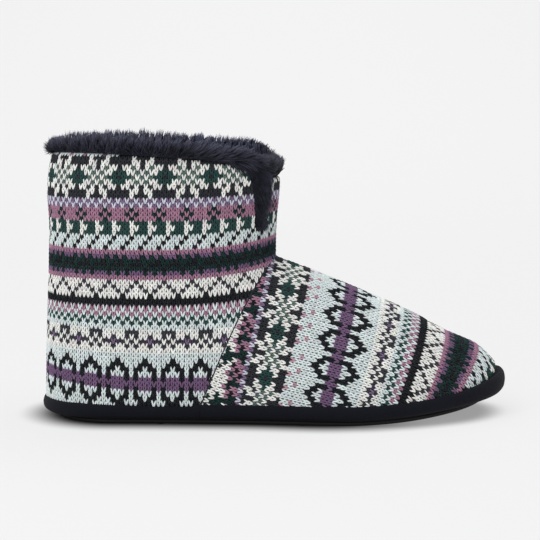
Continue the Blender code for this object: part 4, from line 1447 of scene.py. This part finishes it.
def rim_path(count, below=0.0):
    """Points along the knit's edge, or so far below it, from the heel round by the outer side.

    Beside the slit the edge turns down in flattened quarter circles.
    """
    turn = half_turn(RIM_SAMPLES)
    pair = []
    for side in (OUTER, INNER):
        x = SHAFT_BACK_X + (THROAT_X - SHAFT_BACK_X) * turn
        for _ in range(3):
            drop = 0.0
            if side == OUTER:
                near = np.minimum((x - (SLIT_X - 0.5 * SLIT_GAP - SLIT_CORNER)) / SLIT_CORNER,
                                  (SLIT_X + 0.5 * SLIT_GAP + SLIT_FRONT_CORNER - x) / SLIT_FRONT_CORNER)
                quarter = 1.0 - np.sqrt(1.0 - np.clip(near, 0.0, 1.0) ** 2)
                drop = RIM_CORNER_DROP * SLIT_CORNER * quarter
            z = collar_edge(x, side == OUTER) - drop - below
            back, front, _ = shaft(z)
            x = back + (front - back) * turn
        y = sides(x, z)[side]
        y[0] = y[-1] = 0.0
        pair.append(evenly(np.column_stack([x, y, z]), count // 2 + 1))
    return closed_loop(*pair)


def rim_frames(count):
    """The rim's points with the unit directions out of the wall, up it and along it."""
    edge = rim_path(count)
    up = unit(edge - rim_path(count, RIM_BELOW))
    along = unit(np.roll(edge, -1, axis=0) - np.roll(edge, 1, axis=0))
    out = unit(np.cross(along, up))
    out *= np.sign(np.sum((edge - edge.mean(axis=0)) * out))
    return edge, out, np.cross(np.cross(out, up), out), along


def rim_surface(place, turn):
    """Points on the collar's pile body, at places round it and turns over it, with their directions.

    A point is the rim's own plus the section's two values along the rim's directions out and up. The
    normal, square to the section's slope, comes with it, and the directions out, up and along.
    """
    i = np.mod(place, 1.0) * RIM_STATIONS
    a = i.astype(int) % RIM_STATIONS
    t = (i - np.floor(i))[:, None]
    spine, out, up, along = (values[a] * (1.0 - t) + values[(a + 1) % RIM_STATIONS] * t
                             for values in rim_frames(RIM_STATIONS))
    ahead, behind = (zone(name, spine[:, :1]) for name in ("body_front", "body_back"))
    outward, upward = (curve(RIM_SECTION, column, turn)[:, None] for column in (1, 2))
    outward = outward - 0.4 * FUR_FRONT_RISE * ahead
    upward = upward * (1.0 - 0.4 * behind) + FUR_FRONT_RISE * ahead * smooth(turn / 0.3)[:, None]
    step = 0.01
    more_out, more_up = ((curve(RIM_SECTION, column, turn + step)
                          - curve(RIM_SECTION, column, turn - step))[:, None] for column in (1, 2))
    normal = (more_up * out - more_out * up) / (np.hypot(more_out, more_up) + 1e-12)
    return spine + outward * out + upward * up, normal, out, up, along


def hair_piece(name, roots, ways, bends, lengths, widths, shades, material):
    """Tapered three-sided hairs as one mesh.

    A hair's middle is its root plus its length times (way * t + bend * t squared), and its radius
    falls as 1 minus t to the power 1.4.
    """
    count = len(roots)
    steps = np.array([0.0, 0.38, 0.72])
    ways = unit(ways)
    side = unit(np.cross(ways, np.array([0.3, 0.5, 0.8])))
    other = unit(np.cross(ways, side))
    t = steps[None, :, None]
    middle = roots[:, None] + lengths[:, None, None] * (ways[:, None] * t + bends[:, None] * t ** 2)
    tip = roots + lengths[:, None] * (ways + bends)
    angle = 2.0 * math.pi * np.arange(3)[None, :, None] / 3.0
    ring = np.cos(angle) * side[:, None] + np.sin(angle) * other[:, None]
    radius = widths[:, None] * (1.0 - steps ** 1.4)
    body = middle[:, :, None] + radius[:, :, None, None] * ring[:, None]
    points = np.concatenate([body.reshape(count, 9, 3), tip[:, None]], axis=1)
    faces = copies(np.vstack([[(0, 2, 1)], loft_faces(3, 3), fan(6, 3, 9)]), count, 10)
    along = np.append(np.repeat(steps, 3), 1.0)
    around = np.append(np.tile([0.0, 0.5, 1.0], 3), 0.5)
    # The clump attribute holds each hair's tone with the painted shade and light that the caller put in it.
    extra = {"along": np.tile(along, count), "clump": np.repeat(np.clip(shades, DARKEST_HAIR, None), 10)}
    bake = own_cells(np.column_stack([around, along]), count, margin=0.15)[faces.ravel()]
    return new_piece(name, to_frame(points.reshape(-1, 3)), faces, material, extra=extra, bake=bake)


def lock_values(places, turns, wide, high, seed):
    """Four values from -1 to 1 for each hair's lock, and how far the hair lies from the lock's middle.

    Locks lie like bricks: every other column of them is shifted by half a lock.
    """
    i = np.floor(places / wide)
    j = np.floor(turns / high + 0.5 * np.mod(i, 2))
    number = np.mod((i * 31 + j).astype(int), LOCKS)
    values = np.random.RandomState(seed).uniform(-1.0, 1.0, (LOCKS, 4))
    return values[number], (places / wide - i - 0.5)[:, None]


def differences(random, count, spread, shortest, thickest):
    """Seeded differences between hairs: in way, bend, length, width and shade."""
    return (spread * random.normal(0.0, 1.0, (count, 3)), 0.05 * random.normal(0.0, 1.0, (count, 3)),
            random.uniform(shortest, 1.1, count), random.uniform(THINNEST_HAIR, thickest, count),
            random.uniform(-0.60, 0.60, count))


def zoned(rows, zones, directions):
    """Sum of the directions, each times its plain share and what the zones add to it."""
    return sum((plain + zones @ np.array(added))[:, None] * way
               for (plain, *added), way in zip(rows, directions))


def collar_hairs(fur, random, material):
    """Hairs in locks over the collar, leaning out and up.

    They sweep forward on the near side, dive beside the slit, lie low in front and stand out at the
    heel. Those at the pile's outer foot are shorter, and darker with painted shade.
    """
    count = fur.hairs
    edge = rim_path(RIM_STATIONS)
    girth = run_of(*edge.T)[-1]
    place = random.uniform(0.0, 1.0, count)
    turn = random.uniform(0.0, 1.0, count) ** 1.15
    roots, normal, out, up, along = rim_surface(place, turn)
    locks, off = lock_values(place * girth, turn * PILE_GIRTH, fur.clump, 0.9 * fur.clump, fur.seed + 1)
    x, outer = roots[:, 0], roots[:, 1] < 0.0
    forward = np.where(outer[:, None], along, -along)
    face = smooth(1.0 - turn / 0.5)
    sweep, fore, back = zone("sweep", x), zone("fore", x), zone("back", x)
    dive = zone("dive", x) * zone("dive_end", x) * outer * face
    heel = zone("heel", x) * face
    near = zone("near", x) * outer
    zones = np.column_stack([heel, fore, dive, sweep * outer, sweep])
    way, bend, share, widths, shade = differences(random, count, 0.07, 0.75, 0.42 * MM)
    # Hairs at the pile's foot lie against it, and each lock has its own lean, splay and bend.
    foot = (0.25 + 0.75 * smooth(turn / 0.16))[:, None]
    ways = zoned(COLLAR_LEAN, zones, (foot * normal, up, forward)) + way
    ways += (0.20 * locks[:, :1] - 0.35 * off) * along + 0.16 * locks[:, 1:2] * out
    bends = zoned(COLLAR_BEND, zones, (normal, up, forward)) + 0.16 * locks[:, 2:3] * up + bend
    # Longer beside the slit, at the heel and on the near side, shorter at the foot and low at the back.
    lengths = fur.length * (0.82 + 0.13 * locks[:, 3]) * share
    lengths *= (0.72 + 0.28 * smooth(turn / 0.25)) * (1.0 + 0.45 * dive + 0.25 * heel)
    lengths *= (0.86 + 0.42 * near * (1.0 - dive) * (1.0 - 0.8 * fore)) * (1.0 - 0.45 * back * (1.0 - heel))
    # Painted shade at the pile's foot and in front, painted light on the inner side, and darker toward the
    # heel.
    shades = (1.0 + 0.30 * locks[:, 0] + shade) * np.where(outer, 1.0, 1.5)
    shades *= (0.12 + 1.05 * smooth(turn / 0.40)) * (0.74 + 0.26 * sweep) * (1.0 - 0.70 * fore)
    return hair_piece("fur_collar", roots, ways, bends, lengths, widths, shades, material)


def collar_body(material):
    """The pile that the collar's hairs stand on, closed round the rim and round its section."""
    stations, turns = 360, 24
    place, turn = np.meshgrid(np.arange(stations) / stations, np.linspace(0.0, 1.0, turns), indexing="ij")
    skin = rim_surface(place.ravel(), turn.ravel())[0]
    return new_piece("fur_body", to_frame(skin), loft_faces(stations, turns, True)[:, ::-1], material)


def slit_surface(across, height):
    """Points on the skin across the slit, -1 to 1 between its edges, with the direction out of it."""
    back, front = slit_edge(height, True), slit_edge(height, False)
    x = 0.5 * (back + front) + 0.5 * (front - back) * across
    step = 0.5 * MM
    slope = (sides(x + step, height)[OUTER] - sides(x - step, height)[OUTER]) / (2.0 * step)
    out = unit(np.column_stack([slope, -np.ones_like(slope), np.zeros_like(slope)]))
    return np.column_stack([x, sides(x, height)[OUTER], height]), out


def slit_hairs(fur, random, material):
    """Hairs that fill the slit: they hang down, out and toward the toe, and are longer higher up."""
    across = random.uniform(-0.95, 0.95, SLIT_HAIRS)
    height = SLIT_BOTTOM + SLIT_HAIR_FOOT + SLIT_HAIR_SPAN * random.uniform(0.0, 1.0, SLIT_HAIRS)
    skin, out = slit_surface(across, height)
    down = np.array([0.0, 0.0, -1.0])
    toward_toe = np.array([1.0, 0.0, 0.0])
    locks, off = lock_values(height, across * 4.0 * MM, fur.clump, fur.clump, fur.seed + 2)
    upper = smooth((height - SLIT_UPPER_START) / SLIT_UPPER_LENGTH)[:, None]
    way, bend, share, widths, shade = differences(random, SLIT_HAIRS, 0.08, 0.70, 0.40 * MM)
    ways = 0.42 * out + (0.80 + 0.05 * upper - 0.35 * off) * down + (0.52 - 0.14 * upper) * toward_toe
    ways += 0.20 * locks[:, :1] * np.cross(out, down) + way
    bends = 0.30 * down - 0.22 * out + bend
    least, more = SLIT_HAIR_LENGTHS
    lengths = (least + more * upper[:, 0]) * share * (1.0 + 0.30 * locks[:, 3])
    lengths *= 0.7 + 0.3 * smooth((height - SLIT_BOTTOM) / SLIT_LOWER_LENGTH)
    # Each lock's and hair's own tone, then painted shadow: darkest at the slit's back edge under the
    # collar's fur.
    shades = (0.85 + 0.35 * locks[:, 0] + shade) * (0.14 + 0.72 * smooth((across + 1.0) / 1.7))
    roots = skin - SLIT_HAIR_SINK * out
    return hair_piece("fur_slit", roots, ways, bends, lengths, widths, shades, material)


def slit_body(material):
    """The pile behind the slit's hairs: a slab between two depths under the skin."""
    rows, columns = 30, 8
    level, across = np.meshgrid(np.linspace(SLIT_BOTTOM - 1.0 * MM, SLIT_PILE_TOP, rows),
                                np.linspace(-1.15, 1.15, columns), indexing="ij")
    skin, out = slit_surface(across.ravel(), level.ravel())
    front, behind = ((skin - depth * out).reshape(rows, columns, 3) for depth in SLIT_PILE_DEPTHS)
    ring = np.concatenate([front, behind[:, ::-1]], axis=1)
    j = np.arange(2 * columns - 2)
    low_end = np.column_stack([np.zeros(len(j), int), j + 2, j + 1])
    high_end = low_end[:, ::-1] + (rows - 1) * 2 * columns
    return new_piece("slit_body", to_frame(ring.reshape(-1, 3)),
                     np.vstack([loft_faces(rows, 2 * columns), low_end, high_end]), material)


class SLIPPER_OT_fur(bpy.types.Operator):
    """Set the fur over the collar's edge and down the slit, hair by hair in locks"""
    bl_idname = "slipper.fur"
    bl_label = "Fur"

    def execute(self, context):
        fur = context.scene.slipper_fur
        random = np.random.RandomState(fur.seed)
        hair = fur_finish("fur_hair", tuple(fur.root), tuple(fur.tip))
        body = pile_finish("fur_body", tuple(fur.root), mixed(fur.root, fur.tip, 0.25))
        for piece in (collar_body(body), collar_hairs(fur, random, hair), slit_hairs(fur, random, hair),
                      slit_body(body)):
            finish_piece(piece, "fur", "fur_trim")
        return {"FINISHED"}


def band_mesh():
    """The band: rings up its bulged side and onto its top, closed at the middle of both faces."""
    rings = []
    for share in np.linspace(0.0, 1.0, 19):
        x, y = sole_loop((MIDSOLE_BULGE * float(curve(MIDSOLE_SIDE, 1, share)),) * 3, SOLE_STATIONS)
        low = OUTSOLE_THICKNESS + spring(x)
        rings.append(np.column_stack([x, y, low + (midsole_top(x) - low) * share]))
    heart = 0.5 * SOLE_LENGTH
    for inset, share in BAND_TOP:
        x, y = sole_loop((MIDSOLE_BULGE + inset,) * 3, SOLE_STATIONS)
        x = heart + (x - heart) * share
        rings.append(np.column_stack([x, y * share, midsole_top(x)]))
    rows, count = len(rings), len(rings[0])
    size = rows * count
    hearts = [[heart, 0.0, OUTSOLE_THICKNESS], [heart, 0.0, midsole_top(heart)]]
    faces = np.vstack([loft_faces(rows, count), fan(0, count, size)[:, ::-1],
                       fan(size - count, count, size + 1)])
    return to_frame(np.vstack([*rings, hearts])), faces


def strip(first, count):
    """Triangles across a closed loop of the sole, joining each outer point to the inner one beside it."""
    outer = first + np.arange(SOLE_STATIONS + 1)
    inner = first + np.concatenate([[0], np.arange(count - 1, SOLE_STATIONS, -1), [SOLE_STATIONS]])
    faces = np.vstack([np.column_stack([outer[:-1], outer[1:], inner[1:]]),
                       np.column_stack([outer[:-1], inner[1:], inner[:-1]])])
    return faces[[len(set(face)) == 3 for face in faces.tolist()]]


def outsole_mesh(sole):
    """A plate with a rim round a recess, and six-sided studs standing in the recess.

    Its rings go from the top edge down the side, under the rim and up into the recess.
    """
    rings = [(OUTSOLE_STEP * step, share * OUTSOLE_THICKNESS) for share, step in OUTSOLE_SIDE]
    rings += [(inset, share * sole.tread) for inset, share in OUTSOLE_RECESS]
    loops = []
    for inset, height in rings:
        x, y = sole_loop(tuple(value + inset for value in RIM_INSETS), SOLE_STATIONS)
        loops.append(np.column_stack([x, y, spring(x) + height]))
    rows, count = len(loops), len(loops[0])
    plate = np.vstack([loft_faces(rows, count)[:, ::-1], strip(0, count),
                       strip((rows - 1) * count, count)[:, ::-1]])
    row = np.arange(-STUD_ROWS, STUD_ROWS + 1)[:, None]
    x = (np.arange(STUD_COLUMNS) + 0.5 * (row % 2)) * sole.pitch
    y = np.broadcast_to(row * sole.pitch * HEXAGON, x.shape)
    low, high = outline(x, tuple(value + STUD_INSET for value in RIM_INSETS))
    good = (x > RIM_INSETS[1] + STUD_END) & (x < SOLE_LENGTH - RIM_INSETS[2] - STUD_END)
    good &= (y > low) & (y < high)
    x, y = x[good], y[good]
    turn = math.pi * np.arange(6) / 3.0
    stud = np.array([[radius * sole.pitch * math.cos(t), radius * sole.pitch * math.sin(t),
                      share * sole.tread + more] for radius, share, more in STUD_SECTIONS for t in turn])
    cells = stud[None] + np.column_stack([x, y, np.zeros(len(x))])[:, None]
    cells[..., 2] += spring(cells[..., 0])
    caps = np.array([(0, 1, 2), (0, 2, 3), (0, 3, 4), (0, 4, 5)])
    one = np.vstack([loft_faces(3, 6)[:, ::-1], caps, caps[:, ::-1] + 12])
    points = np.vstack([*loops, cells.reshape(-1, 3)])
    return to_frame(points), np.vstack([plate, copies(one, len(x), len(stud)) + rows * count])


class SLIPPER_OT_sole(bpy.types.Operator):
    """Wrap the midsole band in brushed textile and mould the outsole with its tread"""
    bl_idname = "slipper.sole"
    bl_label = "Sole"

    def execute(self, context):
        sole = context.scene.slipper_sole
        join = to_frame(np.array([BAND_JOIN_X, 0.0, 0.0]))[0]
        felt = felt_finish("band_textile", tuple(sole.navy), tuple(sole.navy_light), join)
        finish_piece(new_piece("sole_band", *band_mesh(), felt), "band_fabric", "midsole")
        rubber = rubber_finish("outsole_rubber", tuple(sole.rubber), mixed(sole.rubber, (0.05,) * 4, 0.12))
        tread = new_piece("outsole_tread", *outsole_mesh(sole), rubber, smooth_faces=False)
        finish_piece(tread, "outsole_rubber", "outsole")
        return {"FINISHED"}


def painted_contact_shadow(points, stage):
    """Painted contact shadow: the share of the floor's colour and glow that is kept beside the sole.

    It grows with the distance from the outsole's outline, and the sole's lift at the toe lets more in.
    """
    x, y = sole_loop(tuple(value + OUTSOLE_STEP for value in RIM_INSETS), 120)
    loop = to_frame(np.column_stack([x, y, np.zeros(len(x))]))[:, :2]
    apart = np.linalg.norm(points[:, None, :2] - loop, axis=2)
    nearest = apart.argmin(axis=1)
    heart = loop.mean(axis=0)
    inside = np.linalg.norm(points[:, :2] - heart, axis=1) < np.linalg.norm(loop[nearest] - heart, axis=1)
    away = np.where(inside, 0.0, apart.min(axis=1))
    lifted = smooth((x[nearest] - CONTACT_LIFT_X) / CONTACT_LIFT_LENGTH)
    deep = stage.contact * (1.0 - CONTACT_LIFT_SHARE * lifted)
    reach = CONTACT_REACH + (CONTACT_LIFT_REACH - CONTACT_REACH) * lifted
    return 1.0 - deep * (1.0 - smooth((away + CONTACT_START) / reach))


def stage_floor(stage):
    """A pale floor that curves up behind in a quarter circle, with fine faces under the painted shadow."""
    made = Finish("stage_floor", {"Roughness": 1.0, "Specular IOR Level": 0.0,
                                  "Emission Strength": stage.glow})
    # The floor's colour and glow both take the painted contact shadow.
    contact = made.attribute("contact", 2)
    made.link("Base Color", made.shaded(tuple(stage.floor), contact))
    made.link("Emission Color", made.grey(contact))
    turn = np.linspace(0.0, math.pi / 2.0, 24)
    near = np.linspace(-FINE_FLOOR_DEPTH, FINE_FLOOR_DEPTH, 81)
    bend = FLOOR_BEND_RADIUS * np.column_stack([np.sin(turn), 1.0 - np.cos(turn)])
    profile = np.vstack([[FLOOR_FRONT, 0.0], np.column_stack([near, np.zeros(len(near))]),
                         bend + [FLOOR_BEND_START, 0.0], [FLOOR_BEND_START + FLOOR_BEND_RADIUS, FLOOR_TOP]])
    far = np.array(FLOOR_HALF_WIDTHS)
    wide = np.concatenate([-far[::-1], np.linspace(-FINE_FLOOR_WIDTH, FINE_FLOOR_WIDTH, 121), far])
    sheet = np.zeros((len(profile), len(wide), 3))
    sheet[..., 0] = wide
    sheet[..., 1:] = profile[:, None]
    sheet = sheet.reshape(-1, 3)
    return new_piece("stage_floor", sheet, loft_faces(len(profile), len(wide), False, False)[:, ::-1],
                     made.material, extra={"contact": painted_contact_shadow(sheet, stage)})


def lamp(name, spot, aim, power, width, spread):
    """A square soft light at one place, turned to another."""
    light = bpy.data.lights.new(name, "AREA")
    light.energy, light.size, light.spread = power, width, spread
    thing = bpy.data.objects.new(name, light)
    x, y, z = np.array(aim) - np.array(spot)
    thing.location = spot
    thing.rotation_euler = (math.atan2(math.hypot(x, y), -z), 0.0, math.atan2(y, x) - math.pi / 2)
    bpy.context.scene.collection.objects.link(thing)


class SLIPPER_OT_stage(bpy.types.Operator):
    """Set the pale floor, the soft light and the camera"""
    bl_idname = "slipper.stage"
    bl_label = "Stage"

    def execute(self, context):
        stage = context.scene.slipper_stage
        floor = stage_floor(stage)
        world = bpy.data.worlds.new("studio")
        context.scene.world = world
        world.use_nodes = True
        sky = world.node_tree.nodes["Background"]
        sky.inputs["Color"].default_value = SKY_COLOUR
        sky.inputs["Strength"].default_value = stage.fill
        for name, spot, aim, width, spread in LAMPS:
            lamp(name, spot, aim, getattr(stage, name), width, spread)
        camera = bpy.data.cameras.new("view")
        camera.sensor_width = SENSOR_WIDTH
        camera.lens = SENSOR_WIDTH * FOCAL_PIXELS / PHOTO_PIXELS
        camera.clip_end = VIEW_DEPTH
        eye = bpy.data.objects.new("view", camera)
        heel_end = to_frame(np.zeros(3))[0]
        eye.location = (heel_end + VIEW_X, -stage.distance, stage.height)
        eye.rotation_euler = (math.pi / 2 - stage.pitch, 0.0, 0.0)
        context.scene.collection.objects.link(eye)
        context.scene.camera = eye
        context.scene.view_settings.view_transform = "Standard"
        return {"FINISHED"}


OPERATORS = (SLIPPER_OT_knit, SLIPPER_OT_lining, SLIPPER_OT_fur, SLIPPER_OT_sole, SLIPPER_OT_stage)


class SLIPPER_PT_pieces(bpy.types.Panel):
    """Pieces of the slipper in the sidebar"""
    bl_idname = "SLIPPER_PT_pieces"
    bl_label = "Slipper"
    bl_space_type = "VIEW_3D"
    bl_region_type = "UI"
    bl_category = "Slipper"

    def draw(self, context):
        for operator in OPERATORS:
            self.layout.operator(operator.bl_idname)
        for group in GROUPS:
            for key in GROUPS[group].__annotations__:
                self.layout.prop(getattr(context.scene, group), key)


GROUPS = {"slipper_knit": KnitSettings, "slipper_fur": FurSettings, "slipper_sole": SoleSettings,
          "slipper_stage": StageSettings}
CLASSES = (*GROUPS.values(), *OPERATORS, SLIPPER_PT_pieces)


def register():
    for made in CLASSES:
        bpy.utils.register_class(made)
    for name, group in GROUPS.items():
        setattr(bpy.types.Scene, name, bpy.props.PointerProperty(type=group))


def unregister():
    for name in GROUPS:
        delattr(bpy.types.Scene, name)
    for made in reversed(CLASSES):
        bpy.utils.unregister_class(made)


def main():
    register()
    bpy.ops.slipper.knit()
    bpy.ops.slipper.lining()
    bpy.ops.slipper.fur()
    bpy.ops.slipper.sole()
    bpy.ops.slipper.stage()


if __name__ == "__main__":
    main()
